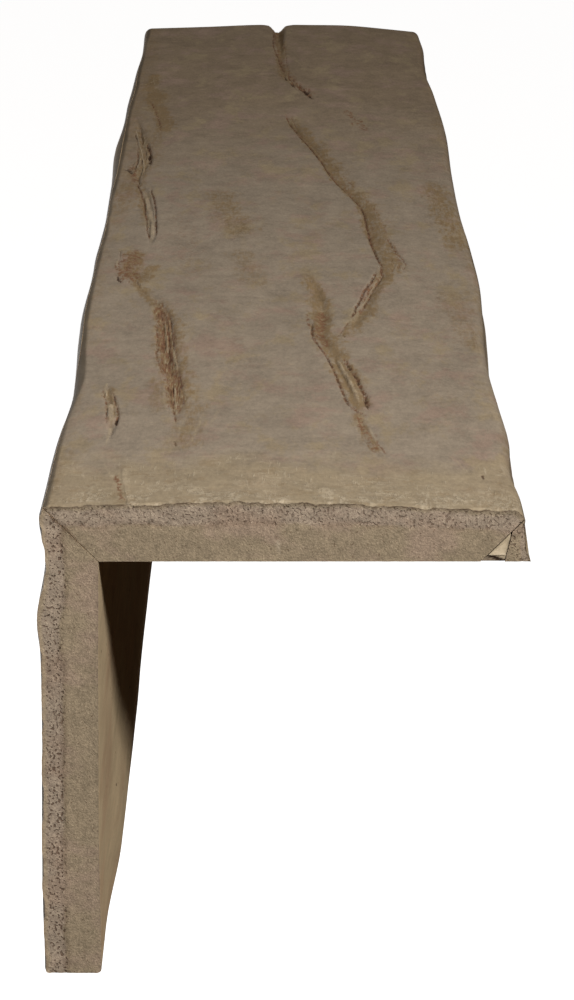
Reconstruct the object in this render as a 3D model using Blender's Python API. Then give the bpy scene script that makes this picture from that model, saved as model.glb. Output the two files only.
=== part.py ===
"""An L-shaped faux ceiling beam of rigid foam, cast to look like weathered, hand-hewn timber.

Three boards are milled from one cast blank and glued along mitres: a wide face board, a tall side board
and a narrow return strip that closes the free edge. A bead of glue fills the open part of the strip's joint.
The origin is the middle of the face board's flat back, which lies on the blocking that carries the beam.
X runs across the face, Y along the beam and Z out of the face. All sizes are in metres.
"""

import math

import bmesh
import bpy
import numpy as np
from mathutils import Vector

# Driving sizes. SIDE_HEIGHT is the side board's whole height, from its foot to the face.
LENGTH = 1.500
FACE_WIDTH = 0.205
SIDE_HEIGHT = 0.206
WALL = 0.024
JOINT_GAP = 0.0003
ARRIS_RADIUS = 0.0055
FOOT_RADIUS = 0.002

# The return strip's joint. Its mitre starts this far outside the wall's own line. The strip's face turns
# steeper below the kink, which leaves an open wedge, and the glue fills the wedge down to its foot.
STRIP_MITRE_SHIFT = 0.0035
STRIP_KINK_SHARE = 0.54
STRIP_FOOT_WIDTH = 0.0105
STRIP_LEAN = 0.0026
GLUE_FOOT_SHARE = 0.27
GLUE_SAG = 0.0010
GLUE_WANDER = 0.0006

# How finely the blank is divided.
STATION_STEP = 0.026
SIDE_STEP = 0.0125
FACE_STEP = 0.0105
ARRIS_STEPS = 4
STRIP_STEPS = 3
SAW_TOLERANCE = 1e-6

# The face's outline from above: (share of the length, how far the edge lies from its nominal line).
LEFT_EDGE = [(0.0, 0.0), (0.10, 0.0016), (0.16, 0.0035), (0.25, 0.0003), (0.31, -0.0008), (0.375, -0.0003),
             (0.435, 0.0013), (0.54, -0.0001), (0.62, -0.0020), (0.69, -0.0022), (0.82, -0.0007),
             (0.90, 0.0002), (1.0, 0.0012)]
RIGHT_EDGE = [(0.0, -0.0022), (0.025, -0.0026), (0.055, -0.0045), (0.095, -0.0023), (0.14, -0.0036),
              (0.21, -0.0048), (0.29, -0.0018), (0.34, -0.0002), (0.41, -0.0006), (0.48, -0.0024),
              (0.58, -0.0022), (0.68, -0.0005), (0.80, -0.0027), (0.87, -0.0054), (0.95, -0.0034),
              (1.0, -0.0046)]

# The hewn face across the beam at either end: (share of the half width, height above nominal).
NEAR_FACE = [(-1.0, 0.0002), (-0.6, 0.0010), (-0.25, 0.0024), (0.17, 0.0015), (0.6, -0.0003), (1.0, -0.0021)]
FAR_FACE = [(-1.0, -0.0018), (-0.55, 0.0003), (-0.2, 0.0021), (0.2, 0.0018), (0.45, 0.0012), (0.7, -0.0014),
            (1.0, -0.0050)]

# The hewn side board at the near end: (share of its height from the foot, distance from nominal).
NEAR_SIDE = [(0.0, -0.0008), (0.13, -0.0015), (0.26, -0.0017), (0.50, -0.0010), (0.68, -0.0013),
             (0.76, -0.0026), (0.885, 0.0012), (0.96, -0.0011), (1.0, -0.0006)]
END_BLEND = 0.16

# The hewn surfaces between the ends. The waves are (strength, waves along, waves across, share of the phase).
HEWING_DEPTH = 0.0013
HEWING_WAVES = [(0.5, 5.3, 0.6, 1.0), (0.3, 2.1, -1.4, 2.1), (0.2, 8.7, 2.3, 0.7)]
FACE_PHASE = 0.4
SIDE_PHASE = 2.9
GLUE_PHASE = 1.3
CROWN_RISE = 0.0018
CROWN_DROP = 0.0022
SIDE_SWELL = 0.0012
SIDE_WAVE_STRETCH = 1.7
FOOT_EDGE_SHARE = 0.35

# The drying checks that are carved into a board: (share of the length, share across), the widths to either
# side of the valley, and the depth. A share across runs from -1 to 1 on the face and from 0 to 1 up the side.
FACE_CHECKS = {
    "end_check": {"path": [(1.02, -0.05), (0.93, -0.04), (0.86, -0.03), (0.82, 0.01), (0.79, 0.09),
                           (0.76, 0.17)],
                  "left": 0.0060, "right": 0.0062, "depth": 0.0058, "open_start": True},
    "long_check": {"path": [(0.74, -0.01), (0.65, 0.11), (0.55, 0.28), (0.49, 0.42), (0.43, 0.46),
                            (0.36, 0.49), (0.32, 0.42), (0.29, 0.37), (0.25, 0.30)],
                   "left": 0.0030, "right": 0.0085, "depth": 0.0040},
    "forked_check": {"path": [(0.345, 0.12), (0.27, 0.19), (0.23, 0.17), (0.20, 0.21), (0.17, 0.26),
                              (0.13, 0.31), (0.08, 0.36)],
                     "left": 0.0045, "right": 0.0055, "depth": 0.0036},
    "edge_split": {"path": [(0.72, -0.95), (0.65, -0.86), (0.60, -0.81), (0.55, -0.83), (0.50, -0.78),
                            (0.41, -0.72)],
                   "left": 0.0038, "right": 0.0045, "depth": 0.0042},
    "torn_grain": {"path": [(0.35, -0.80), (0.30, -0.68), (0.25, -0.59), (0.20, -0.555), (0.16, -0.53),
                            (0.11, -0.49)],
                   "left": 0.0050, "right": 0.0070, "depth": 0.0034},
    "corner_split": {"path": [(0.17, -0.83), (0.13, -0.765), (0.08, -0.775)],
                     "left": 0.0028, "right": 0.0034, "depth": 0.0026},
}
SIDE_CHECKS = {
    "side_long_check": {"path": [(0.95, 0.62), (0.84, 0.58), (0.74, 0.66), (0.66, 0.63), (0.57, 0.52),
                                 (0.49, 0.47), (0.44, 0.50)],
                        "left": 0.0070, "right": 0.0035, "depth": 0.0042},
    "side_end_check": {"path": [(1.02, 0.36), (0.94, 0.37), (0.88, 0.34), (0.82, 0.29), (0.77, 0.30)],
                       "left": 0.0050, "right": 0.0055, "depth": 0.0046, "open_start": True},
    "side_torn_grain": {"path": [(0.55, 0.80), (0.48, 0.76), (0.41, 0.74), (0.33, 0.77), (0.27, 0.75)],
                        "left": 0.0060, "right": 0.0050, "depth": 0.0034},
    "side_low_split": {"path": [(0.30, 0.20), (0.23, 0.23), (0.17, 0.19), (0.11, 0.21)],
                       "left": 0.0035, "right": 0.0040, "depth": 0.0032},
}

# How a check is cut: the cutter's height above the board, the share of the check's length in which a closed
# end runs out, how much of the depth comes and goes along it, and what is left of it at a closed end.
CHECK_STEPS = 14
CHECK_LIFT = 0.0030
CHECK_RUN_OUT = 0.25
CHECK_PULSE = 0.15
CHECK_PULSES = 2.5
CHECK_END_WIDTH = 0.35
CHECK_END_LIFT = 0.0006

# Finishes: colour, roughness.
FACE_STAIN = ((0.21, 0.17, 0.125, 1.0), 0.72)
SIDE_STAIN = ((0.18, 0.145, 0.105, 1.0), 0.75)
STRIP_STAIN = ((0.19, 0.155, 0.12, 1.0), 0.75)
CREAM_GLUE = ((0.55, 0.44, 0.31, 1.0), 0.45)

# Places worked out from the sizes.
HALF_WIDTH = FACE_WIDTH / 2
SIDE_FOOT = WALL - SIDE_HEIGHT
INNER_CORNER_X = -HALF_WIDTH + WALL
STRIP_MITRE_FOOT_X = HALF_WIDTH - WALL + STRIP_MITRE_SHIFT
STRIP_KINK_Z = WALL * STRIP_KINK_SHARE
STRIP_KINK_X = STRIP_MITRE_FOOT_X + STRIP_KINK_Z
GLUE_FOOT_Z = STRIP_KINK_Z * GLUE_FOOT_SHARE
GLUE_PEAK_CLEARANCE = 3 * JOINT_GAP
GLUE_BOARD_CLEARANCE = 2 * JOINT_GAP
STRIP_FOOT_X = HALF_WIDTH - STRIP_FOOT_WIDTH
STATIONS = round(LENGTH / STATION_STEP)


def smooth_curve(points, at):
    """A smooth line through the points (Catmull-Rom), read at `at` and held level beyond its ends."""
    places = [p for p, _ in points]
    values = [v for _, v in points]
    if at <= places[0]:
        return values[0]
    if at >= places[-1]:
        return values[-1]
    i = max(k for k in range(len(places) - 1) if places[k] <= at)
    span = places[i + 1] - places[i]

    def slope(k):
        low, high = max(k - 1, 0), min(k + 1, len(places) - 1)
        return (values[high] - values[low]) / (places[high] - places[low]) * span

    t = (at - places[i]) / span
    rise = ease(t)
    return (values[i] * (1 - rise) + values[i + 1] * rise
            + slope(i) * t * (1 - t) ** 2 - slope(i + 1) * t * t * (1 - t))


def ease(t):
    """Rises smoothly from 0 to 1 as t does."""
    t = min(max(t, 0.0), 1.0)
    return t * t * (3 - 2 * t)


def hewing(along, across, phase):
    """The soft hollows that an adze leaves, from -1 to 1: slow waves that drift across the board."""
    return sum(strength * math.sin(2 * math.pi * (waves_along * along + waves_across * across) + turn * phase)
               for strength, waves_along, waves_across, turn in HEWING_WAVES)


def face_height(x, share):
    """Height of the hewn face at x, a share of the length from the near end."""
    across = x / HALF_WIDTH
    middle = CROWN_RISE - CROWN_DROP * across * across + HEWING_DEPTH * hewing(share, across, FACE_PHASE)
    near = 1 - ease(share / END_BLEND)
    far = 1 - ease((1 - share) / END_BLEND)
    return (WALL + near * smooth_curve(NEAR_FACE, across) + far * smooth_curve(FAR_FACE, across)
            + (1 - near - far) * middle)


def side_place(z, share):
    """X of the side board's hewn outer side at height z. The edge's wander fades towards the foot."""
    up = (z - SIDE_FOOT) / SIDE_HEIGHT
    middle = HEWING_DEPTH * hewing(share, SIDE_WAVE_STRETCH * up, SIDE_PHASE) - SIDE_SWELL
    near = 1 - ease(share / END_BLEND)
    edge = smooth_curve(LEFT_EDGE, share) * (FOOT_EDGE_SHARE + (1 - FOOT_EDGE_SHARE) * ease(up))
    return -HALF_WIDTH + edge + near * smooth_curve(NEAR_SIDE, up) + (1 - near) * middle


def strip_place(z, share):
    """X of the return strip's outer side at height z: it leans out towards its foot."""
    return HALF_WIDTH + smooth_curve(RIGHT_EDGE, share) + STRIP_LEAN * (1 - z / (WALL - ARRIS_RADIUS))


def arris(start, end, rises):
    """Points of a quarter ellipse between two points, without its ends. A rising one leaves start upright."""
    (x0, z0), (x1, z1) = start, end
    turns = [math.pi / 2 * k / ARRIS_STEPS for k in range(1, ARRIS_STEPS)]
    if rises:
        return [(x1 + (x0 - x1) * math.cos(a), z0 + (z1 - z0) * math.sin(a)) for a in turns]
    return [(x0 + (x1 - x0) * math.sin(a), z1 + (z0 - z1) * math.cos(a)) for a in turns]


def blank_section(share):
    """The cast section at one station, as (x, z) points: up the side, over the face, down the strip."""
    side_top = face_height(-HALF_WIDTH + ARRIS_RADIUS, share) - ARRIS_RADIUS
    side_foot = SIDE_FOOT + FOOT_RADIUS
    heights = np.linspace(side_foot, side_top, round(SIDE_HEIGHT / SIDE_STEP))
    side = [(side_place(z, share), z) for z in heights]
    left = side[-1][0] + ARRIS_RADIUS
    strip_top = face_height(HALF_WIDTH - ARRIS_RADIUS, share) - ARRIS_RADIUS
    right = strip_place(strip_top, share) - ARRIS_RADIUS
    face = [(x, face_height(x, share)) for x in np.linspace(left, right, round(FACE_WIDTH / FACE_STEP))]
    strip = [(strip_place(z, share), z) for z in np.linspace(strip_top, 0.0, STRIP_STEPS)]
    foot = (side[0][0] + FOOT_RADIUS, SIDE_FOOT)
    back = [(INNER_CORNER_X, 0.0), (INNER_CORNER_X, SIDE_FOOT)]
    left_arris = arris(side[-1], face[0], rises=True)
    right_arris = arris(face[-1], strip[0], rises=False)
    return [foot] + side + left_arris + face + right_arris + strip + back


def loft(rings):
    """A closed solid through rings of equal count, with a flat cap at each end."""
    mesh = bmesh.new()
    rows = [[mesh.verts.new(point) for point in ring] for ring in rings]
    count = len(rows[0])
    for row, after in zip(rows, rows[1:]):
        for k in range(count):
            mesh.faces.new((row[k], row[(k + 1) % count], after[(k + 1) % count], after[k]))
    mesh.faces.new(rows[0])
    mesh.faces.new(rows[-1])
    bmesh.ops.recalc_face_normals(mesh, faces=mesh.faces)
    return mesh


def stations():
    """(Share of the length, y) of each station along the beam."""
    return [(k / STATIONS, (k / STATIONS - 0.5) * LENGTH) for k in range(STATIONS + 1)]


def blank():
    """The cast L-shaped blank, along the whole beam."""
    return loft([[(x, y, z) for x, z in blank_section(share)] for share, y in stations()])


def saw(mesh, point, normal):
    """Cuts the solid along a plane, keeps the side that the normal points to and closes the cut."""
    geometry = mesh.verts[:] + mesh.edges[:] + mesh.faces[:]
    bmesh.ops.bisect_plane(mesh, geom=geometry, dist=SAW_TOLERANCE, plane_co=point, plane_no=normal,
                           clear_inner=True)
    rim = [edge for edge in mesh.edges if edge.is_boundary]
    bmesh.ops.holes_fill(mesh, edges=rim, sides=0)
    bmesh.ops.recalc_face_normals(mesh, faces=mesh.faces)


def finish(name, look):
    """A Principled BSDF material of one colour and roughness."""
    colour, roughness = look
    material = bpy.data.materials.new(name)
    material.use_nodes = True
    shader = material.node_tree.nodes["Principled BSDF"]
    shader.inputs["Base Color"].default_value = colour
    shader.inputs["Roughness"].default_value = roughness
    shader.inputs["Metallic"].default_value = 0.0
    return material


def place(mesh, name, collection, material):
    """Turns a bmesh into a named object in a collection."""
    data = bpy.data.meshes.new(name)
    mesh.to_mesh(data)
    mesh.free()
    data.materials.append(material)
    piece = bpy.data.objects.new(name, data)
    collection.objects.link(piece)
    return piece


def check_cutter(on_board, path, left, right, depth, open_start=False):
    """A V-section wedge along a check's valley. It runs out towards each closed end, and past an open start.

    on_board gives the surface point, and the outward and sideways directions, at (share along, across)."""
    knots = [k / (len(path) - 1) for k in range(len(path))]
    along = list(zip(knots, (a for a, _ in path)))
    across = list(zip(knots, (b for _, b in path)))
    widen = 1 + CHECK_LIFT / depth
    rings = []
    for k in range(CHECK_STEPS + 1):
        t = k / CHECK_STEPS
        from_start = 1.0 if open_start else ease(t / CHECK_RUN_OUT)
        to_end = ease((1 - t) / CHECK_RUN_OUT)
        pulse = 1 - CHECK_PULSE * (1 - math.cos(2 * math.pi * CHECK_PULSES * t))
        swell = from_start * to_end * pulse
        reach = widen * (CHECK_END_WIDTH + (1 - CHECK_END_WIDTH) * swell)
        point, outward, sideways = on_board(smooth_curve(along, t), smooth_curve(across, t))
        brim = point + outward * CHECK_LIFT
        rings.append([brim - sideways * left * reach,
                      point - outward * (depth * swell - CHECK_END_LIFT * (1 - swell)),
                      brim + sideways * right * reach])
    return loft(rings)


def on_face(share, across):
    """Point, outward direction and direction across, on the face."""
    x = across * HALF_WIDTH
    height = face_height(x, min(share, 1.0))
    return Vector((x, (share - 0.5) * LENGTH, height)), Vector((0, 0, 1)), Vector((1, 0, 0))


def on_side(share, up):
    """Point, outward direction and direction up, on the side board."""
    z = SIDE_FOOT + up * SIDE_HEIGHT
    place_x = side_place(z, min(share, 1.0))
    return Vector((place_x, (share - 0.5) * LENGTH, z)), Vector((-1, 0, 0)), Vector((0, 0, 1))


def carve(board, checks, on_board, cutters):
    """Cuts each check into the board with its own Boolean."""
    for name, check in checks.items():
        cutter = place(check_cutter(on_board, **check), name + "_cutter", cutters, board.data.materials[0])
        cutter.hide_render = True
        cutter.display_type = "WIRE"
        cut = board.modifiers.new(name, "BOOLEAN")
        cut.operation = "DIFFERENCE"
        cut.object = cutter


def face_board(collection):
    """The wide board, mitred at both edges. Each mitre keeps half of its joint's gap."""
    mesh = blank()
    from_corner = Vector((1, 0, 1)).normalized()
    saw(mesh, Vector((INNER_CORNER_X, 0, 0)) + from_corner * JOINT_GAP / 2, from_corner)
    from_strip = Vector((-1, 0, 1)).normalized()
    saw(mesh, Vector((STRIP_MITRE_FOOT_X, 0, 0)) + from_strip * JOINT_GAP / 2, from_strip)
    return place(mesh, "face_board", collection, finish("face_stain", FACE_STAIN))


def side_board(collection):
    """The tall board, mitred at its upper edge."""
    mesh = blank()
    from_corner = Vector((-1, 0, -1)).normalized()
    saw(mesh, Vector((INNER_CORNER_X, 0, 0)) + from_corner * JOINT_GAP / 2, from_corner)
    return place(mesh, "side_board", collection, finish("side_stain", SIDE_STAIN))


def return_strip(collection):
    """The narrow strip that closes the free edge: mitred above the kink, steeper below it."""
    mesh = blank()
    from_mitre = Vector((1, 0, -1)).normalized()
    saw(mesh, Vector((STRIP_MITRE_FOOT_X, 0, 0)) + from_mitre * JOINT_GAP / 2, from_mitre)
    from_wedge = Vector((STRIP_KINK_Z, 0, STRIP_FOOT_X - STRIP_KINK_X)).normalized()
    saw(mesh, Vector((STRIP_KINK_X, 0, STRIP_KINK_Z)), from_wedge)
    return place(mesh, "return_strip", collection, finish("strip_stain", STRIP_STAIN))


def glue_bead(collection):
    """The bead in the open wedge of the strip's joint. Its underside sags between the two boards."""
    lean = (STRIP_KINK_X - STRIP_FOOT_X) / STRIP_KINK_Z
    peak_z = STRIP_KINK_Z - GLUE_PEAK_CLEARANCE
    peak_x = STRIP_KINK_X - lean * (STRIP_KINK_Z - peak_z) - JOINT_GAP
    rings = []
    for share, y in stations():
        foot = GLUE_FOOT_Z + GLUE_WANDER * hewing(share, 0.0, GLUE_PHASE)
        board_x = STRIP_MITRE_FOOT_X + foot + GLUE_BOARD_CLEARANCE
        strip_x = STRIP_KINK_X - lean * (STRIP_KINK_Z - foot) - JOINT_GAP
        sag = ((board_x + strip_x) / 2, y, foot - GLUE_SAG)
        rings.append([(peak_x, y, peak_z), (board_x, y, foot), sag, (strip_x, y, foot)])
    return place(loft(rings), "glue_bead", collection, finish("cream_glue", CREAM_GLUE))


def main():
    """Clears the scene and models the beam."""
    for old in list(bpy.data.objects):
        bpy.data.objects.remove(old)
    beam = bpy.data.collections.new("faux_ceiling_beam")
    cutters = bpy.data.collections.new("cutters")
    bpy.context.scene.collection.children.link(beam)
    bpy.context.scene.collection.children.link(cutters)
    carve(face_board(beam), FACE_CHECKS, on_face, cutters)
    carve(side_board(beam), SIDE_CHECKS, on_side, cutters)
    return_strip(beam)
    glue_bead(beam)


main()
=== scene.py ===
"""Looks of an L-shaped faux ceiling beam of rigid foam, cast and stained like weathered, hand-hewn timber.

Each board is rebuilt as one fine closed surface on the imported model's own form: the same wandering edges,
hewn hollows and mitres, with the drying checks, torn grain and crumbly sawn ends worked into it. X runs
across the face, Y along the beam, Z out of the face. Sizes are in metres, and marks in millimetres.
"""

from __future__ import annotations

import logging
import math
from dataclasses import dataclass
from enum import Enum

import bpy
import numpy as np
from mathutils import Euler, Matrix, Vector


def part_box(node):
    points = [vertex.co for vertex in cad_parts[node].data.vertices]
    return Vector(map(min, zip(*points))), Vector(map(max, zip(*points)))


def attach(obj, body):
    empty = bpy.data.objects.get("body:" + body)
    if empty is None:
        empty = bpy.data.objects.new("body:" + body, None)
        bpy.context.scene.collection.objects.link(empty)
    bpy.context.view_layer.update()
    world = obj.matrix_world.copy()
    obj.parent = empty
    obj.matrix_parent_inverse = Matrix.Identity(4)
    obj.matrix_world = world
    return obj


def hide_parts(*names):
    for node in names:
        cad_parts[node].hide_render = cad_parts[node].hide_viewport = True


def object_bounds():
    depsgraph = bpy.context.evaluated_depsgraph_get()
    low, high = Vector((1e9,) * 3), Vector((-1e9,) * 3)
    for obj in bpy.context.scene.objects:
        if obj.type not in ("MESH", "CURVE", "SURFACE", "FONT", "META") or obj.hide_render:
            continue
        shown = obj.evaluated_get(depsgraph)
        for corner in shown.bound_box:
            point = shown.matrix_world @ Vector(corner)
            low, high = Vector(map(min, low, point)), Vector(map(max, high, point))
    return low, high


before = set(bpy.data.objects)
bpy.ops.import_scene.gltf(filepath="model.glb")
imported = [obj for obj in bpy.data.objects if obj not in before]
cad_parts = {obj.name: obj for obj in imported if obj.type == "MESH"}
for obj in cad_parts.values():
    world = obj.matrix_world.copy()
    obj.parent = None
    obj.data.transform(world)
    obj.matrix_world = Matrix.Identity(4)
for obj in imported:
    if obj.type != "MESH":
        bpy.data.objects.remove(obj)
CAD_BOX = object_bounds()

MM = 0.001
LOG = logging.getLogger("beam")

Array = np.ndarray
Line = tuple[tuple[float, float], ...]
Socket = bpy.types.NodeSocket
Material = bpy.types.Material
Object = bpy.types.Object

# A grid's near and far row, each with the way inwards along Y.
ENDS = ((0, 1.0), (-1, -1.0))

COLUMN_FACTOR, ROW_FACTOR, SEED_FACTOR, FOLD_FACTOR = 374761393, 668265263, 2246822519, 1274126177
WORD, HALF_WORD = 0xFFFFFFFF, 0xFFFF


def ease(t: Array) -> Array:
    """Rises smoothly from 0 to 1: three t squared less two t cubed, held outside."""
    t = np.clip(t, 0.0, 1.0)
    return t * t * (3 - 2 * t)


def smooth_line(points: Line, at: Array) -> Array:
    """A smooth line through points: a cubic in each span, whose slopes come from the neighbouring points.

    Args:
        points: (place, value) pairs in rising order of place.
        at: The places to read it at; it is held level beyond its ends.

    Returns:
        The line's values.
    """
    places, values = np.array(points, float).T
    count = len(places)
    low = np.maximum(np.arange(count) - 1, 0)
    high = np.minimum(np.arange(count) + 1, count - 1)
    slopes = (values[high] - values[low]) / (places[high] - places[low])
    held = np.clip(at, places[0], places[-1])
    i = np.clip(np.searchsorted(places, held, side="right") - 1, 0, count - 2)
    span = places[i + 1] - places[i]
    t = (held - places[i]) / span
    rise = ease(t)
    bend = slopes[i] * t * (1 - t) ** 2 - slopes[i + 1] * t * t * (1 - t)
    return values[i] * (1 - rise) + values[i + 1] * rise + bend * span


def lattice(column: Array, row: Array, seed: int) -> Array:
    """A fixed number from 0 to 1 at each lattice point, from multiplied and folded whole numbers.

    Args:
        column: Lattice columns.
        row: Lattice rows.
        seed: Which pattern.

    Returns:
        The numbers.
    """
    mixed = (column * COLUMN_FACTOR + row * ROW_FACTOR + seed * SEED_FACTOR) & WORD
    mixed = ((mixed ^ (mixed >> 13)) * FOLD_FACTOR) & WORD
    return ((mixed ^ (mixed >> 16)) & HALF_WORD) / HALF_WORD


def noise(x: Array, y: Array, size_x: float, size_y: float, seed: int, octaves: int = 1) -> Array:
    """Soft noise from -1 to 1: lattice numbers blended by eased shares, with finer layers at half strength.

    Args:
        x: Places across.
        y: Places along.
        size_x: Size of a patch across.
        size_y: Size of a patch along.
        seed: Which pattern.
        octaves: How many layers.

    Returns:
        The noise at each place.
    """
    total = np.zeros(np.broadcast(x, y).shape)
    strength = 1.0
    reach = 0.0
    for layer in range(octaves):
        u, v = np.broadcast_arrays(x / size_x * 2 ** layer, y / size_y * 2 ** layer)
        column, row = np.floor(u).astype(np.int64), np.floor(v).astype(np.int64)
        across, along = ease(u - column), ease(v - row)
        near, far = (lattice(column, row + step, seed + layer) * (1 - across)
                     + lattice(column + 1, row + step, seed + layer) * across for step in (0, 1))
        total += strength * (2 * (near * (1 - along) + far * along) - 1)
        reach += strength
        strength /= 2
    return total / reach


class Grain(Enum):
    """The noises: a patch's size across and along, in the unit they are read in, the seed and the layers."""

    SHAKE = (1.0, 14.0, 0, 2)
    SWING = (1.0, 22.0, 7, 3)
    CRUMBLE = (2.2, 8.0, 29, 2)
    FIBRE = (0.9, 26.0, 13, 2)
    DIPS = (0.026, 0.085, 0, 3)
    SKIN = (0.0022, 0.030, 5, 2)
    BITES = (0.0042, 1.0, 9, 3)
    BROKEN = (0.012, 0.045, 501, 3)
    SMALL = (0.0018, 0.0018, 507, 2)
    SLOW = (1.0, 0.060, 511, 3)
    COARSE_CRUMB = (0.0026, 0.0026, 0, 2)
    FINE_CRUMB = (0.0013, 0.0013, 3, 1)
    END_DIRT = (0.0016, 0.0016, 7, 2)
    BACK_SWAY = (0.060, 0.13, 341, 2)
    STRIP_WEAR = (0.008, 0.045, 561, 3)
    BEAD_SAG = (1.0, 0.012, 611, 2)
    BEAD_SHADE_LINE = (0.0022, 0.0022, 617, 2)
    BEAD_CAP = (0.002, 0.002, 621, 2)

    def at(self, x: Array, y: Array, seed: int = 0) -> Array:
        """The noise from -1 to 1 at each place, its seed moved on by another."""
        size_x, size_y, own, layers = self.value
        return noise(x, y, size_x, size_y, own + seed, layers)


@dataclass(frozen=True)
class Blank:
    """The cast L-shaped blank that the boards are sawn from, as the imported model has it."""

    face_width: float = 0.205
    wall: float = 0.024
    joint_gap: float = 0.0003
    arris_radius: float = 0.0055
    foot_radius: float = 0.002
    strip_mitre_shift: float = 0.0035
    strip_kink_share: float = 0.54
    strip_foot_width: float = 0.0105
    strip_lean: float = 0.0026
    search_steps: int = 300
    left_search: float = 0.004
    right_search: tuple[float, float] = (0.001, 0.012)
    end_blend: float = 0.16
    hewing_depth: float = 0.0013
    crown_rise: float = 0.0018
    crown_drop: float = 0.0022
    side_swell: float = 0.0012
    side_wave_stretch: float = 1.7
    foot_edge_share: float = 0.35
    face_phase: float = 0.4
    side_phase: float = 2.9
    hewing_waves: tuple[tuple[float, float, float, float], ...] = (
        (0.5, 5.3, 0.6, 1.0), (0.3, 2.1, -1.4, 2.1), (0.2, 8.7, 2.3, 0.7))
    left_edge: Line = (
        (0.0, 0.0), (0.10, 0.0016), (0.16, 0.0035), (0.25, 0.0003), (0.31, -0.0008), (0.375, -0.0003),
        (0.435, 0.0013), (0.54, -0.0001), (0.62, -0.0020), (0.69, -0.0022), (0.82, -0.0007), (0.90, 0.0002),
        (1.0, 0.0012))
    right_edge: Line = (
        (0.0, -0.0022), (0.025, -0.0026), (0.055, -0.0045), (0.095, -0.0023), (0.14, -0.0036),
        (0.21, -0.0048), (0.29, -0.0018), (0.34, -0.0002), (0.41, -0.0006), (0.48, -0.0024),
        (0.58, -0.0022), (0.68, -0.0005), (0.80, -0.0027), (0.87, -0.0054), (0.95, -0.0034),
        (1.0, -0.0046))
    near_face: Line = (
        (-1.0, 0.0002), (-0.6, 0.0010), (-0.25, 0.0024), (0.17, 0.0015), (0.6, -0.0003), (1.0, -0.0021))
    far_face: Line = (
        (-1.0, 0.0000), (-0.55, 0.0014), (-0.2, 0.0028), (0.2, 0.0027), (0.45, 0.0022), (0.7, -0.0001),
        (1.0, -0.0033))
    near_side: Line = (
        (0.0, -0.0008), (0.13, -0.0015), (0.26, -0.0017), (0.50, -0.0010), (0.68, -0.0013), (0.76, -0.0026),
        (0.885, 0.0012), (0.96, -0.0011), (1.0, -0.0006))
    near_y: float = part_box("face_board")[0].y
    far_y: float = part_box("face_board")[1].y
    side_foot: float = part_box("side_board")[0].z

    @property
    def half_width(self) -> float:
        """Half of the face's nominal width."""
        return self.face_width / 2

    @property
    def side_height(self) -> float:
        """The side board's whole height, from its foot to the nominal face."""
        return self.wall - self.side_foot

    @property
    def inner_corner_x(self) -> float:
        """X of the side board's flat back."""
        return -self.half_width + self.wall

    @property
    def mitre_foot_x(self) -> float:
        """X where the return strip's mitre meets the flat back."""
        return self.half_width - self.wall + self.strip_mitre_shift

    @property
    def half_gap_shift(self) -> float:
        """How far half of a mitre's gap moves its line along X."""
        return self.joint_gap / math.sqrt(2)

    @property
    def bends(self) -> tuple[float, float, float, float]:
        """Developed distance from the side's foot to the left arris, face, right arris and strip."""
        arris = self.arris_radius * math.pi / 2
        side = self.wall - self.arris_radius - self.side_foot - self.foot_radius
        face = self.face_width - 2 * self.arris_radius
        return side, side + arris, side + arris + face, side + 2 * arris + face

    def share(self, y: Array) -> Array:
        """Share of the length from the near end."""
        return (y - self.near_y) / (self.far_y - self.near_y)

    def hewing(self, along: Array, across: Array, phase: float) -> Array:
        """The adze's soft hollows from -1 to 1: a weighted sum of slow sine waves that drift across.

        Args:
            along: Share of the length.
            across: Share across the board.
            phase: Where the waves start.

        Returns:
            The hollows' height.
        """
        return sum(strength * np.sin(2 * np.pi * (waves_along * along + waves_across * across) + turn * phase)
                   for strength, waves_along, waves_across, turn in self.hewing_waves)

    def face_height(self, x: Array, share: Array) -> Array:
        """Height of the hewn face: a crown with hollows, blended into its own line at either end.

        Args:
            x: Places across.
            share: Share of the length.

        Returns:
            Z of the face.
        """
        across = x / self.half_width
        middle = (self.crown_rise - self.crown_drop * across * across
                  + self.hewing_depth * self.hewing(share, across, self.face_phase))
        near = 1 - ease(share / self.end_blend)
        far = 1 - ease((1 - share) / self.end_blend)
        return (self.wall + near * smooth_line(self.near_face, across)
                + far * smooth_line(self.far_face, across) + (1 - near - far) * middle)

    def side_place(self, z: Array, share: Array) -> Array:
        """X of the hewn outer side: the edge's wander, fading to the foot, with hollows.

        Args:
            z: Heights.
            share: Share of the length.

        Returns:
            X of the outer side.
        """
        up = (z - self.side_foot) / self.side_height
        middle = (self.hewing_depth * self.hewing(share, self.side_wave_stretch * up, self.side_phase)
                  - self.side_swell)
        near = 1 - ease(share / self.end_blend)
        kept = self.foot_edge_share + (1 - self.foot_edge_share) * ease(up)
        wander = smooth_line(self.left_edge, share) * kept
        return -self.half_width + wander + near * smooth_line(self.near_side, up) + (1 - near) * middle

    def strip_place(self, z: Array, share: Array) -> Array:
        """X of the return strip's outer side: the edge's wander, leaning out towards its foot.

        Args:
            z: Heights.
            share: Share of the length.

        Returns:
            X of the strip's outer side.
        """
        lean = self.strip_lean * (1 - z / (self.wall - self.arris_radius))
        return self.half_width + smooth_line(self.right_edge, share) + lean

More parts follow.
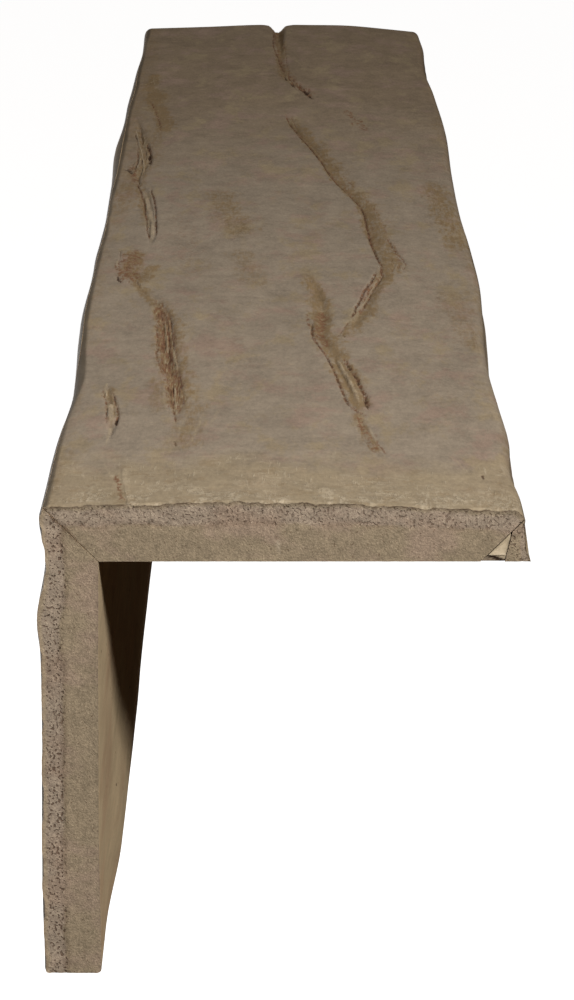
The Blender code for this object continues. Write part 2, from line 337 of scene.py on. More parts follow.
    def outline(self, developed: Array, share: Array) -> tuple[Array, Array]:
        """The blank's outer line at a developed distance from the side's foot.

        It climbs the side, turns a quarter of an ellipse at the left arris, crosses the face, turns another
        at the right arris and comes down the strip.

        Args:
            developed: Nominal distance along the line.
            share: Share of the length.

        Returns:
            X and Z of the outer line.
        """
        developed, share = np.broadcast_arrays(developed, share)
        radius = self.arris_radius
        side_end, face_start, face_end, strip_start = self.bends
        side_top = self.face_height(np.full_like(share, radius - self.half_width), share) - radius
        left = self.side_place(side_top, share) + radius
        strip_top = self.face_height(np.full_like(share, self.half_width - radius), share) - radius
        right = self.strip_place(strip_top, share) - radius

        up = np.clip(developed / side_end, 0, 1)
        side_z = self.side_foot + self.foot_radius + up * (side_top - self.side_foot - self.foot_radius)
        over = np.clip((developed - face_start) / (face_end - face_start), 0, 1)
        face_x = left + over * (right - left)
        down = np.clip((developed - strip_start) / (self.wall - radius), 0, 1)
        strip_z = strip_top * (1 - down)
        turn = np.clip((developed - side_end) / (face_start - side_end), 0, 1) * np.pi / 2
        fall = np.clip((developed - face_end) / (strip_start - face_end), 0, 1) * np.pi / 2
        left_rise = self.face_height(left, share) - side_top
        right_rise = self.face_height(right, share) - strip_top

        pieces = [developed < side_end, developed < face_start, developed < face_end, developed < strip_start]
        x = np.select(pieces, [self.side_place(side_z, share), left - radius * np.cos(turn), face_x,
                               right + radius * np.sin(fall)], self.strip_place(strip_z, share))
        z = np.select(pieces, [side_z, side_top + left_rise * np.sin(turn), self.face_height(face_x, share),
                               strip_top + right_rise * np.cos(fall)], strip_z)
        return x, z

    def crossing(self, share: Array, start: float, end: float, turned: float, level: float) -> Array:
        """Where the outer line passes a mitre's plane, X plus turned times Z equals level, by a fine search.

        Args:
            share: Shares of the length.
            start: Developed distance to search from.
            end: Developed distance to search to.
            turned: 1 for the left mitre, -1 for the right one.
            level: The plane's level.

        Returns:
            Developed distance of the crossing at each share.
        """
        tries = np.linspace(start, end, self.search_steps)
        x, z = self.outline(tries[None, :], share[:, None])
        past = x + turned * z - level
        after = np.clip(np.argmax(past > 0, axis=1), 1, len(tries) - 1)
        rows = np.arange(len(share))
        low, high = past[rows, after - 1], past[rows, after]
        return tries[after - 1] + (tries[after] - tries[after - 1]) * low / (low - high)

    def left_mitre(self, share: Array, level: float) -> Array:
        """Developed distance at which the outer line passes the left mitre's plane."""
        side_end, face_start, _, _ = self.bends
        return self.crossing(share, side_end - self.left_search, face_start, 1, level)

    def right_mitre(self, share: Array, level: float) -> Array:
        """Developed distance at which the outer line passes the right mitre's plane."""
        _, _, face_end, strip_start = self.bends
        before, after = self.right_search
        return self.crossing(share, face_end - before, strip_start + after, -1, level)


class Shape(Enum):
    """The shape across a mark."""

    BELL = "bell"
    WEDGE = "wedge"
    RIDGE = "ridge"
    BAND = "band"


@dataclass(frozen=True)
class Habit:
    """How a kind of mark looks: its shape, whether it sinks or stands up, and how strongly it is coloured."""

    shape: Shape
    rise: float = -1.0
    ochre: float = 0.0
    rust: float = 0.0
    dark: float = 0.0
    cream: float = 0.0
    torn: float = 0.0
    fibre: float = 0.3
    ragged: float = 0.25
    crumb: float = 0.22
    fade: float = 0.2
    fine: bool = True


class Mark(Enum):
    """The kinds of mark on the hewn skin."""

    HOLLOW = Habit(Shape.BELL, ochre=0.45, fibre=0.08, ragged=0.12, crumb=0.04)
    GROOVE = Habit(Shape.WEDGE, rust=1.0, dark=0.55, fibre=0.22, ragged=0.22, crumb=0.14, fade=0.12)
    HOLE = Habit(Shape.WEDGE, rust=0.6, dark=1.0, fibre=0.3, ragged=0.6, fade=0.3)
    SLIVER = Habit(Shape.RIDGE, rise=1.0, cream=0.78, fibre=0.25, ragged=0.18, crumb=0.12)
    STAIN = Habit(Shape.BAND, ochre=0.90, fibre=0.3, crumb=0.4, fine=False)
    BLUSH = Habit(Shape.BAND, rust=0.85, fibre=0.5, crumb=0.5, fine=False)
    TEAR = Habit(Shape.BAND, torn=1.3, ochre=0.4, fibre=0.35)
    SCRATCH = Habit(Shape.RIDGE, rise=-0.2, cream=0.60, fibre=0.5, ragged=0.3)


@dataclass(frozen=True)
class Stroke:
    """One mark that runs along a board: a band about a smooth line, which sinks, raises and colours it.

    The line is (millimetres along, millimetres across) in rising order. Widths are to either side of it.
    """

    mark: Mark
    line: Line
    left: float
    right: float
    depth: float = 0.0
    strength: float = 1.0
    open_far: bool = False
    fade: float = 0.0

    @property
    def seed(self) -> int:
        """A number of the stroke's own, from where it starts and its size."""
        return round(abs(3 * self.line[0][0] + 7 * self.line[0][1] + 11 * self.left + 13 * self.depth))

    @property
    def reach(self) -> tuple[float, float]:
        """Where the line starts and stops, in millimetres along."""
        return self.line[0][0], self.line[-1][0]

    def centre(self, along: Array) -> Array:
        """The line with a small wander.

        Args:
            along: Millimetres along.

        Returns:
            Millimetres across.
        """
        shake = Grain.SHAKE.at(along * 0 + self.seed, along, self.seed)
        swing = 0.9 * self.mark.value.ragged * min(self.left + self.right, 4.0)
        return smooth_line(self.line, along) + swing * shake

    def ends(self, along: Array) -> Array:
        """How fully the mark is there along its line, from 0 to 1, easing in and out.

        Args:
            along: Millimetres along.

        Returns:
            The share of the mark.
        """
        fade = self.fade or self.mark.value.fade
        start, stop = self.reach
        t = (along - start) / (stop - start)
        out = np.ones_like(t) if self.open_far else ease((1 - t) / fade)
        return ease(t / fade) * out

    def cover(self, across: Array, along: Array) -> Array:
        """The mark's strength from 0 to 1: its shape over the distance from its line, in ragged widths.

        Args:
            across: Millimetres across.
            along: Millimetres along.

        Returns:
            The coverage.
        """
        habit = self.mark.value
        there = self.ends(along)
        apart = across - self.centre(along)
        swing = 1 + habit.ragged * Grain.SWING.at(across * 0 + 3 * self.seed, along, self.seed)
        width = np.where(apart < 0, self.left, self.right) * (0.35 + 0.65 * there) * swing
        crumble = habit.crumb * Grain.CRUMBLE.at(across, along, self.seed)
        distance = np.maximum(np.abs(apart) / np.maximum(width, 0.05) + crumble, 0.0)
        if habit.shape is Shape.BELL:
            shape = 0.5 + 0.5 * np.cos(np.pi * np.clip(distance, 0, 1))
        elif habit.shape is Shape.WEDGE:
            shape = np.clip(1 - distance, 0, 1)
        elif habit.shape is Shape.RIDGE:
            shape = np.sqrt(np.clip(1 - distance ** 2, 0, 1))
        else:
            shape = 0.8 * (1 - ease((distance - 0.1) / 0.9))
        grain = Grain.FIBRE.at(across, along, self.seed)
        return shape * there * np.clip(1 - habit.fibre * (0.5 + 1.1 * grain), 0, 1.2)


def path(*points: tuple[float, float]) -> Line:
    """A line of (along, across) points, sorted to run from the near end to the far end."""
    return tuple(sorted(points))


def frayed(line: Line, spread: float, count: int, seed: int, weight: float = 1.0) -> tuple[Stroke, ...]:
    """Short torn fibres about a line, one in five a raised sliver and the rest grooves.

    Args:
        line: The torn place's line.
        spread: How far to either side they lie, in millimetres.
        count: How many.
        seed: Which draw.
        weight: How strong they are.

    Returns:
        Their strokes.
    """
    draw = np.random.default_rng(seed)
    start, stop = line[0][0], line[-1][0]
    made = []
    for k in range(count):
        length = (stop - start) * draw.uniform(0.12, 0.36)
        first = draw.uniform(start, stop - length)
        along = first + length * np.array([0.0, 0.5, 1.0])
        across = smooth_line(line, along) + draw.uniform(-spread, spread) + draw.normal(0, 0.4, 3)
        mark = Mark.SLIVER if k % 5 == 0 else Mark.GROOVE
        points = tuple((float(a), float(b)) for a, b in zip(along, across))
        made.append(Stroke(mark, points, 0.5, 0.6, draw.uniform(0.3, 0.8), weight * draw.uniform(0.4, 0.9)))
    return tuple(made)


END_CHECK = path((760, -6), (731, -6), (646, -4), (537, -3), (476, 1), (442, 9), (416, 14))
END_HOLES = path((515, 0), (480, 3), (442, 9), (410, 14), (380, 19))
LONG_CHECK = path((362, -2), (297, 2), (222, 11), (152, 20), (77, 28), (25, 36), (-18, 43), (-60, 45),
                  (-107, 46), (-164, 48), (-212, 50), (-236, 50))
LONG_LIMB = path((-205, 51), (-238, 50), (-268, 45), (-309, 40), (-347, 36), (-382, 33))
LIMB_EDGE = path((-226, 48.5), (-262, 43.5), (-300, 38.5), (-340, 34.5), (-356, 33))
FORKED = path((-225, 10), (-279, 16), (-338, 19), (-402, 18), (-447, 22), (-481, 26), (-535, 30), (-570, 34))
FORK_EDGE = path((-350, 14), (-385, 13), (-412, 14), (-447, 19), (-481, 22.5), (-530, 26.5), (-572, 31))
FORK_TAIL = path((-560, 32), (-593, 34), (-625, 37), (-662, 42))
UPPER_SPLIT = path((330, -98), (275, -93), (222, -89), (145, -85), (90, -88), (40, -84))
LOWER_SPLIT = path((60, -85), (25, -81), (-36, -77.5), (-96, -74.5), (-146, -73.5))
RED_PATCH = path((-145, -80), (-185, -83), (-226, -83), (-262, -76))
TORN = path((-280, -71), (-298, -67), (-317, -64.5), (-356, -61), (-402, -59), (-447, -57), (-489, -54),
            (-540, -51), (-602, -48.5))
EDGE_SPLINTER = path((-500, -85), (-541, -82), (-570, -79.5), (-593, -78.5), (-634, -79))

FACE_STROKES: tuple[Stroke, ...] = (
    Stroke(Mark.HOLLOW, path((640, -4), (760, -6)), 13.0, 13.0, 1.6, 0.2, True, 0.9),
    Stroke(Mark.HOLLOW, path((585, -4), (646, -4), (760, -6)), 6.6, 6.6, 4.6, 0.3, True, 0.9),
    Stroke(Mark.HOLLOW, END_CHECK, 4.5, 5.0, 1.0, 0.6),
    Stroke(Mark.GROOVE, path((500, 0), (560, -4), (600, -6), (646, -9), (760, -8)), 0.9, 1.0, 0.5, 0.85,
           True),
    Stroke(Mark.GROOVE, path((505, 3), (560, 1), (610, 0), (660, -2)), 0.7, 0.8, 0.4, 0.6),
    Stroke(Mark.STAIN, END_CHECK, 6.0, 7.5, 0.0, 0.9, True),
    Stroke(Mark.BLUSH, path((480, 1), (560, -3), (646, -7), (760, -8)), 3.0, 4.0, 0.0, 0.7, True),
    Stroke(Mark.BLUSH, END_HOLES, 5.0, 8.0, 0.0, 0.8),
    Stroke(Mark.TEAR, END_HOLES, 2.6, 3.8, 0.6, 0.7),
    Stroke(Mark.HOLE, path((500, -1), (488, 0), (474, 1)), 0.9, 1.0, 0.9, 0.9),
    Stroke(Mark.HOLE, path((470, 2), (455, 4), (438, 7)), 1.2, 1.5, 1.6),
    Stroke(Mark.HOLE, path((444, 9), (424, 12), (400, 14)), 1.7, 2.0, 2.0),
    Stroke(Mark.HOLE, path((408, 14), (394, 16), (380, 19)), 1.0, 1.2, 1.0, 0.9),
    *frayed(END_HOLES, 5.5, 12, 5, 0.9),
    # The long check: a thin steep lip on its left and a gentle ochre slope, wide at its elbow.
    Stroke(Mark.HOLLOW, LONG_CHECK, 2.2, 8.5, 1.6, 0.6),
    Stroke(Mark.STAIN, LONG_CHECK, 4.0, 15.0, 0.0, 1.1),
    Stroke(Mark.GROOVE, LONG_CHECK, 0.9, 1.1, 0.9, 1.0),
    Stroke(Mark.BLUSH, path((130, 22), (40, 35), (-60, 46), (-170, 49)), 1.5, 2.5, 0.0, 0.6),
    Stroke(Mark.GROOVE, path((330, 2), (250, 9), (180, 19), (120, 26)), 0.5, 0.7, 0.4, 0.55),
    Stroke(Mark.GROOVE, path((150, 24), (70, 36), (0, 47), (-60, 53), (-130, 57), (-200, 60)),
           0.5, 0.7, 0.4, 0.5),
    Stroke(Mark.STAIN, path((60, 36), (-30, 48), (-110, 53), (-190, 56)), 5.0, 6.0, 0.0, 0.7),
    Stroke(Mark.STAIN, path((-110, 54), (-180, 58), (-225, 58), (-265, 51)), 7.0, 6.0, 0.0, 0.8),
    Stroke(Mark.GROOVE, path((-120, 55), (-165, 60), (-205, 64), (-228, 61)), 0.8, 1.0, 0.8, 0.7),
    Stroke(Mark.BLUSH, path((-130, 56), (-185, 61), (-232, 60)), 2.5, 3.0, 0.0, 0.7),
    *frayed(path((-150, 56), (-195, 60), (-240, 57)), 3.0, 6, 17, 0.6),
    Stroke(Mark.STAIN, path((-150, 52), (-200, 55), (-240, 54), (-285, 47)), 6.0, 7.0, 0.0, 1.1),
    Stroke(Mark.GROOVE, path((-150, 47.5), (-190, 49.5), (-220, 51), (-248, 49.5), (-275, 44.5)),
           0.8, 0.9, 0.6, 0.9),
    Stroke(Mark.HOLLOW, LONG_LIMB, 2.4, 7.5, 1.5, 0.6),
    Stroke(Mark.STAIN, path((-205, 52), (-268, 47), (-347, 38), (-400, 28), (-425, 22)), 5.5, 9.0, 0.0, 0.9),
    Stroke(Mark.GROOVE, path((-358, 32), (-385, 28), (-405, 25)), 0.7, 0.8, 0.5, 0.5),
    Stroke(Mark.GROOVE, LIMB_EDGE, 1.2, 1.3, 1.2, 1.1),
    Stroke(Mark.GROOVE, path((-228, 52.5), (-262, 47), (-295, 42.5), (-330, 38.5)), 0.8, 0.8, 0.6, 0.9),
    Stroke(Mark.BLUSH, path((-232, 51), (-262, 46), (-300, 41.5), (-345, 36)), 2.2, 2.6, 0.0, 1.0),
    Stroke(Mark.SLIVER, path((-238, 50), (-262, 46), (-300, 41.2), (-328, 37)), 0.4, 0.45, 0.5, 0.62),
    # The forked check: a smeared head, a red body, a sliver between two grooves, and a streaky tail.
    Stroke(Mark.HOLLOW, FORKED, 4.2, 5.2, 1.3, 0.6),
    Stroke(Mark.STAIN, path((-205, 8), (-250, 13), (-320, 18), (-402, 19), (-500, 31)), 8.0, 9.0, 0.0, 1.2),
    Stroke(Mark.STAIN, path((-450, 24), (-500, 30), (-575, 35)), 8.5, 8.5, 0.0, 1.2),
    Stroke(Mark.STAIN, path((-395, 20), (-410, 26), (-420, 32)), 5.0, 5.0, 0.0, 0.8),
    Stroke(Mark.BLUSH, path((-318, 19), (-360, 18), (-405, 18), (-440, 23)), 4.0, 4.0, 0.0, 1.2),
    Stroke(Mark.GROOVE, FORK_EDGE, 0.9, 1.1, 1.2, 1.1),
    Stroke(Mark.GROOVE, path((-452, 27), (-500, 33), (-540, 37), (-568, 37.5)), 1.2, 1.5, 1.9, 1.15),
    Stroke(Mark.GROOVE, path((-558, 30), (-568, 33), (-576, 37)), 1.3, 1.3, 0.8, 0.9),
    Stroke(Mark.HOLE, path((-392, 27), (-400, 29), (-409, 30)), 0.8, 0.8, 0.6, 0.7),
    Stroke(Mark.SLIVER, path((-452, 24), (-480, 27), (-520, 31.2), (-552, 34), (-562, 34.5)),
           1.0, 1.1, 1.4, 0.75),
    Stroke(Mark.BLUSH, path((-330, 10), (-365, 12), (-400, 14)), 1.6, 1.8, 0.0, 0.9),
    Stroke(Mark.STAIN, FORK_TAIL, 5.0, 5.5, 0.0, 0.7),
    Stroke(Mark.BLUSH, FORK_TAIL, 3.5, 4.0, 0.0, 0.8),
    *frayed(FORK_TAIL, 4.5, 9, 23, 0.75),
    # The upper left split: a starburst, a brown patch, two slivers round a hole, then one broad sliver.
    Stroke(Mark.STAIN, path((520, -89), (478, -90), (430, -91)), 8.0, 8.0, 0.0, 1.4),
    Stroke(Mark.SCRATCH, path((498, -82), (478, -91), (466, -97)), 1.0, 1.2, 0.0, 0.8),
    Stroke(Mark.SCRATCH, path((510, -90), (480, -89.5), (440, -88)), 0.8, 0.9, 0.0, 0.6),
    Stroke(Mark.STAIN, path((470, -88), (373, -85), (300, -78), (225, -76)), 9.0, 10.0, 0.0, 1.4),
    Stroke(Mark.GROOVE, path((400, -90), (373, -87), (310, -82), (246, -78)), 0.8, 0.9, 0.7, 0.9),
    Stroke(Mark.SCRATCH, path((262, -80), (248, -77), (238, -74)), 0.7, 0.7, 0.0, 0.8),
    Stroke(Mark.HOLLOW, UPPER_SPLIT, 4.0, 4.4, 1.8, 0.7),
    Stroke(Mark.STAIN, path((340, -97), (240, -91), (150, -86), (60, -86), (-120, -76)), 5.5, 5.5, 0.0, 0.8),
    Stroke(Mark.SLIVER, path((300, -97), (240, -93), (180, -88.5), (130, -86), (70, -86.5)),
           0.6, 0.7, 1.1, 0.75),
    Stroke(Mark.SLIVER, path((270, -91), (230, -88.5), (190, -86)), 0.45, 0.5, 0.8, 0.6),
    Stroke(Mark.HOLE, path((262, -95), (240, -93.5), (215, -92)), 0.7, 0.9, 1.0, 0.9),
    Stroke(Mark.GROOVE, path((225, -87), (190, -84), (150, -82), (128, -82)), 1.0, 1.3, 1.6, 1.1),
    Stroke(Mark.HOLE, path((186, -84), (162, -83), (138, -82)), 1.0, 1.5, 1.8),
    Stroke(Mark.GROOVE, path((200, -92), (150, -90), (110, -91)), 0.7, 0.8, 0.8, 0.9),
    Stroke(Mark.HOLE, path((126, -96), (112, -93.5), (98, -92)), 1.6, 1.6, 1.2, 0.95),
    Stroke(Mark.BLUSH, path((140, -95), (100, -92), (60, -88)), 3.5, 4.5, 0.0, 1.0),
    *frayed(path((290, -94), (180, -88), (100, -89), (40, -84)), 4.0, 12, 31, 0.75),
    Stroke(Mark.HOLLOW, LOWER_SPLIT, 3.4, 3.6, 1.8, 0.6),
    Stroke(Mark.GROOVE, path((75, -89), (25, -84), (-36, -80), (-90, -77), (-130, -75)), 0.8, 0.9, 1.2, 1.0),
    Stroke(Mark.GROOVE, path((50, -80), (0, -76), (-60, -73), (-120, -71.5)), 0.8, 1.0, 1.2, 1.0),
    Stroke(Mark.SLIVER, path((30, -82.5), (-20, -78.7), (-70, -75.5), (-128, -73.6)), 1.3, 1.4, 1.6, 0.68),
    # The red patch between the splits, and the torn grain below it.
    Stroke(Mark.STAIN, RED_PATCH, 9.0, 11.0, 0.0, 1.0),
    Stroke(Mark.BLUSH, RED_PATCH, 7.0, 7.0, 0.0, 1.0),
    Stroke(Mark.STAIN, path((-190, -68), (-225, -73), (-262, -77)), 7.0, 8.0, 0.0, 0.9),
    Stroke(Mark.HOLE, path((-232, -90), (-245, -88.5), (-256, -87)), 1.0, 1.1, 0.9, 0.95),
    Stroke(Mark.BLUSH, path((-190, -90), (-225, -88), (-256, -85)), 2.4, 2.4, 0.0, 1.3),
    Stroke(Mark.STAIN, path((-235, -80), (-270, -76), (-300, -70), (-330, -66)), 5.0, 6.0, 0.0, 0.9),
    *frayed(path((-150, -86), (-210, -86), (-270, -78), (-300, -72)), 4.5, 9, 41, 0.7),
    Stroke(Mark.HOLLOW, TORN, 5.0, 7.0, 1.5, 0.6),
    Stroke(Mark.STAIN, TORN, 8.5, 15.0, 0.0, 1.0),
    Stroke(Mark.TEAR, TORN, 5.0, 6.2, 0.5, 1.0),
    Stroke(Mark.TEAR, path((-355, -60), (-402, -59), (-447, -57), (-500, -54)), 6.0, 7.0, 0.3, 0.9),
    Stroke(Mark.GROOVE, path((-320, -66), (-356, -65), (-402, -63), (-447, -62), (-500, -56)),
           0.9, 1.1, 0.8, 0.7),
    Stroke(Mark.GROOVE, path((-480, -56), (-520, -54), (-570, -51), (-604, -49)), 0.7, 0.8, 0.6, 0.8),
    Stroke(Mark.BLUSH, path((-330, -65), (-380, -61), (-440, -58), (-560, -52)), 4.0, 3.5, 0.0, 0.5),
    *frayed(path((-300, -68), (-356, -61), (-402, -59), (-489, -54), (-590, -49)), 4.5, 20, 43, 0.8),
    # The splinter by the left edge, those at the near edge, scratches and specks.
    Stroke(Mark.HOLLOW, EDGE_SPLINTER, 2.8, 3.2, 1.3, 0.7),
    Stroke(Mark.STAIN, path((-500, -84), (-560, -80), (-600, -78)), 5.0, 5.0, 0.0, 0.8),
    Stroke(Mark.GROOVE, path((-515, -86), (-545, -83), (-575, -81.5), (-600, -80.5)), 0.7, 0.7, 0.8, 0.8),
    Stroke(Mark.GROOVE, path((-518, -82), (-545, -78.5), (-580, -76), (-606, -76.5)), 0.8, 0.9, 0.9, 0.9),
    Stroke(Mark.SLIVER, path((-500, -84.5), (-515, -84), (-535, -83)), 0.8, 0.8, 0.9, 0.7),
    Stroke(Mark.SLIVER, path((-545, -81.5), (-570, -79.5), (-592, -78.5)), 1.5, 1.6, 1.3, 0.72),
    Stroke(Mark.SLIVER, path((-598, -79), (-615, -79), (-634, -79.5)), 0.8, 0.8, 0.7, 0.7),
    Stroke(Mark.HOLE, path((-582, -77.5), (-590, -77), (-598, -76.5)), 1.1, 1.2, 1.4, 1.1),
    Stroke(Mark.GROOVE, path((-530, -86), (-540, -82), (-552, -80)), 0.5, 0.6, 0.6, 0.8),
    Stroke(Mark.SLIVER, path((-674, -70), (-700, -69), (-735, -66), (-760, -65)), 1.4, 1.4, 0.5, 0.9),
    Stroke(Mark.BLUSH, path((-690, -73), (-722, -70.5), (-752, -69)), 1.8, 1.8, 0.0, 1.2),
    Stroke(Mark.SCRATCH, path((-670, -79), (-690, -76), (-704, -73)), 0.9, 1.1, 0.3, 0.9),
    Stroke(Mark.SCRATCH, path((-678, -92), (-681, -89), (-684, -86)), 1.2, 1.2, 0.0, 0.7),
    Stroke(Mark.SCRATCH, path((-548, -29), (-590, -33), (-622, -37)), 1.0, 1.4, 0.3, 0.6),
    Stroke(Mark.SCRATCH, path((-562, -36), (-618, -40), (-650, -45)), 1.3, 1.0, 0.3, 0.75),
    Stroke(Mark.SCRATCH, path((-600, -35), (-640, -37), (-658, -38)), 1.0, 0.8, 0.2, 0.5),
    Stroke(Mark.SCRATCH, path((-570, -43), (-604, -47), (-632, -48)), 0.8, 1.2, 0.3, 0.6),
    Stroke(Mark.HOLE, path((-628, -49), (-636, -49), (-646, -48.5)), 1.0, 1.0, 0.4, 0.6),
    Stroke(Mark.STAIN, path((-530, -38), (-590, -42), (-665, -46)), 12.0, 12.0, 0.0, 0.55),
    Stroke(Mark.SCRATCH, path((-648, 71), (-672, 76), (-690, 80)), 1.0, 1.2, 0.3, 0.8),
    Stroke(Mark.HOLE, path((-686, 84), (-692, 85), (-698, 86)), 0.9, 0.9, 0.5, 0.8),
    Stroke(Mark.BLUSH, path((345, 38), (300, 44), (252, 53)), 5.0, 5.0, 0.0, 0.9),
    Stroke(Mark.SCRATCH, path((-472, 44), (-488, 52), (-478, 60)), 0.8, 1.0, 0.0, 0.6),
    Stroke(Mark.STAIN, path((90, 86), (0, 88), (-80, 92), (-180, 97)), 12.0, 16.0, 0.0, 0.8),
    Stroke(Mark.GROOVE, path((30, 76), (10, 84), (-8, 92)), 2.2, 2.6, 0.2, 0.35),
    Stroke(Mark.GROOVE, path((6, 74), (-12, 84), (-24, 90)), 1.8, 2.2, 0.2, 0.30),
    Stroke(Mark.GROOVE, path((-62, 84), (-74, 90), (-92, 96)), 1.8, 2.2, 0.2, 0.30),
    Stroke(Mark.STAIN, path((-250, 82), (-340, 88), (-450, 95)), 12.0, 16.0, 0.0, 0.45),
    Stroke(Mark.BLUSH, path((-260, 78), (-330, 84), (-440, 92)), 14.0, 14.0, 0.0, 0.30),
    Stroke(Mark.STAIN, path((60, -40), (-40, -32), (-150, -22)), 16.0, 16.0, 0.0, 0.60),
    Stroke(Mark.STAIN, path((-150, -27), (-200, -22), (-280, -14)), 13.0, 13.0, 0.0, 0.50),
    Stroke(Mark.BLUSH, path((-20, -66), (-150, -54), (-270, -44)), 18.0, 18.0, 0.0, 0.28),
    Stroke(Mark.STAIN, path((330, -88), (200, -84), (60, -92), (-100, -92)), 12.0, 14.0, 0.0, 0.55),
    Stroke(Mark.BLUSH, path((200, -94), (100, -96), (-40, -92)), 10.0, 10.0, 0.0, 0.28),
    Stroke(Mark.BLUSH, path((-385, -30), (-430, -25), (-490, -20)), 12.0, 12.0, 0.0, 0.26),
    Stroke(Mark.BLUSH, path((-470, 66), (-560, 74), (-640, 84)), 16.0, 16.0, 0.0, 0.22),
    Stroke(Mark.STAIN, path((-480, -64), (-530, -60), (-585, -58)), 8.0, 8.0, 0.0, 0.5),
)

SIDE_LONG = path((675, -54), (510, -62.5), (360, -46), (240, -52), (105, -75), (-15, -85), (-90, -79))
SIDE_END = path((765, -108), (660, -106), (570, -112), (480, -122), (405, -120))
SIDE_TORN = path((75, -17), (-30, -25.5), (-135, -29.5), (-255, -23.5), (-345, -27.5))
SIDE_LOW = path((-300, -141), (-405, -135), (-495, -143), (-585, -139))

SIDE_STROKES: tuple[Stroke, ...] = (
    Stroke(Mark.HOLLOW, SIDE_LONG, 9.0, 3.4, 3.4, 0.8),
    Stroke(Mark.STAIN, SIDE_LONG, 11.0, 4.0, 0.0, 1.0),
    Stroke(Mark.GROOVE, SIDE_LONG, 1.0, 0.9, 0.9, 1.0),
    Stroke(Mark.GROOVE, path((500, -67), (360, -51), (240, -57), (140, -73)), 0.6, 0.6, 0.4, 0.6),
    Stroke(Mark.HOLLOW, SIDE_END, 5.0, 5.5, 4.0, 0.6, True),
    Stroke(Mark.STAIN, SIDE_END, 6.0, 6.5, 0.0, 0.9, True),
    Stroke(Mark.GROOVE, SIDE_END, 1.0, 1.1, 0.9, 1.0, True),
    Stroke(Mark.TEAR, path((560, -113), (500, -120), (415, -120)), 3.5, 4.5, 0.6, 0.9),
    *frayed(path((560, -113), (500, -120), (405, -120)), 4.5, 9, 61, 0.9),
    Stroke(Mark.HOLLOW, SIDE_TORN, 6.0, 5.0, 2.4, 0.7),
    Stroke(Mark.STAIN, SIDE_TORN, 10.0, 8.0, 0.0, 0.95),
    Stroke(Mark.TEAR, SIDE_TORN, 4.8, 4.4, 0.6, 1.0),
    *frayed(SIDE_TORN, 5.0, 20, 67, 1.0),
    Stroke(Mark.HOLLOW, SIDE_LOW, 3.6, 4.0, 2.4, 0.7),
    Stroke(Mark.STAIN, SIDE_LOW, 5.5, 6.0, 0.0, 0.8),
    Stroke(Mark.GROOVE, path((-325, -138), (-405, -132.5), (-490, -140)), 0.8, 0.9, 1.0, 1.0),
    Stroke(Mark.SLIVER, path((-330, -141), (-405, -137), (-480, -143.5)), 1.3, 1.3, 1.7, 0.85),
    Stroke(Mark.SCRATCH, path((330, -140), (240, -138), (120, -146)), 0.9, 0.9, 0.3, 0.7),
    Stroke(Mark.BLUSH, path((-480, -60), (-560, -66), (-650, -62)), 12.0, 10.0, 0.0, 0.5),
    Stroke(Mark.STAIN, path((-480, -70), (-560, -76), (-650, -72)), 12.0, 12.0, 0.0, 0.6),
    Stroke(Mark.STAIN, path((330, -150), (200, -146), (60, -152)), 12.0, 12.0, 0.0, 0.6),
)


@dataclass
class Relief:
    """What the strokes do to a grid of points: how deep they sink it, and how strongly they colour it."""

    TINTS = ("ochre", "rust", "dark", "cream", "torn")

    sink: Array
    tints: dict[str, Array]

    @classmethod
    def of(cls, strokes: tuple[Stroke, ...], across: Array, along: Array) -> "Relief":
        """Adds up the strokes: what sinks is summed, and the strongest of each colour wins.

        A sliver is bare wood-coloured foam, so it covers the dark and the rust beneath it.

        Args:
            strokes: The marks.
            across: Metres across.
            along: Metres along.

        Returns:
            The relief.
        """
        sink = np.zeros(across.shape)
        tints = {name: np.zeros(across.shape) for name in cls.TINTS}
        for stroke in strokes:
            habit = stroke.mark.value
            start, stop = (place * MM for place in stroke.reach)
            rows = (along[:, 0] >= start) & (along[:, 0] <= stop)
            if not rows.any():
                continue
            cover = stroke.cover(across[rows] / MM, along[rows] / MM)
            sink[rows] -= habit.rise * stroke.depth * MM * cover
            tint = np.clip(1.4 * cover, 0, 1) * stroke.strength
            for name in cls.TINTS:
                if getattr(habit, name):
                    tints[name][rows] = np.maximum(tints[name][rows], getattr(habit, name) * tint)
        bare = 1 - ease(tints["cream"] / 0.5)
        for name in ("dark", "rust", "torn"):
            tints[name] = tints[name] * bare
        return cls(sink, tints)

    def wear_and_shade(self, more: dict[str, Array]) -> None:
        """Lays more tints over these, the stronger winning."""
        for name, values in more.items():
            self.tints[name] = np.maximum(self.tints.get(name, 0.0), values)


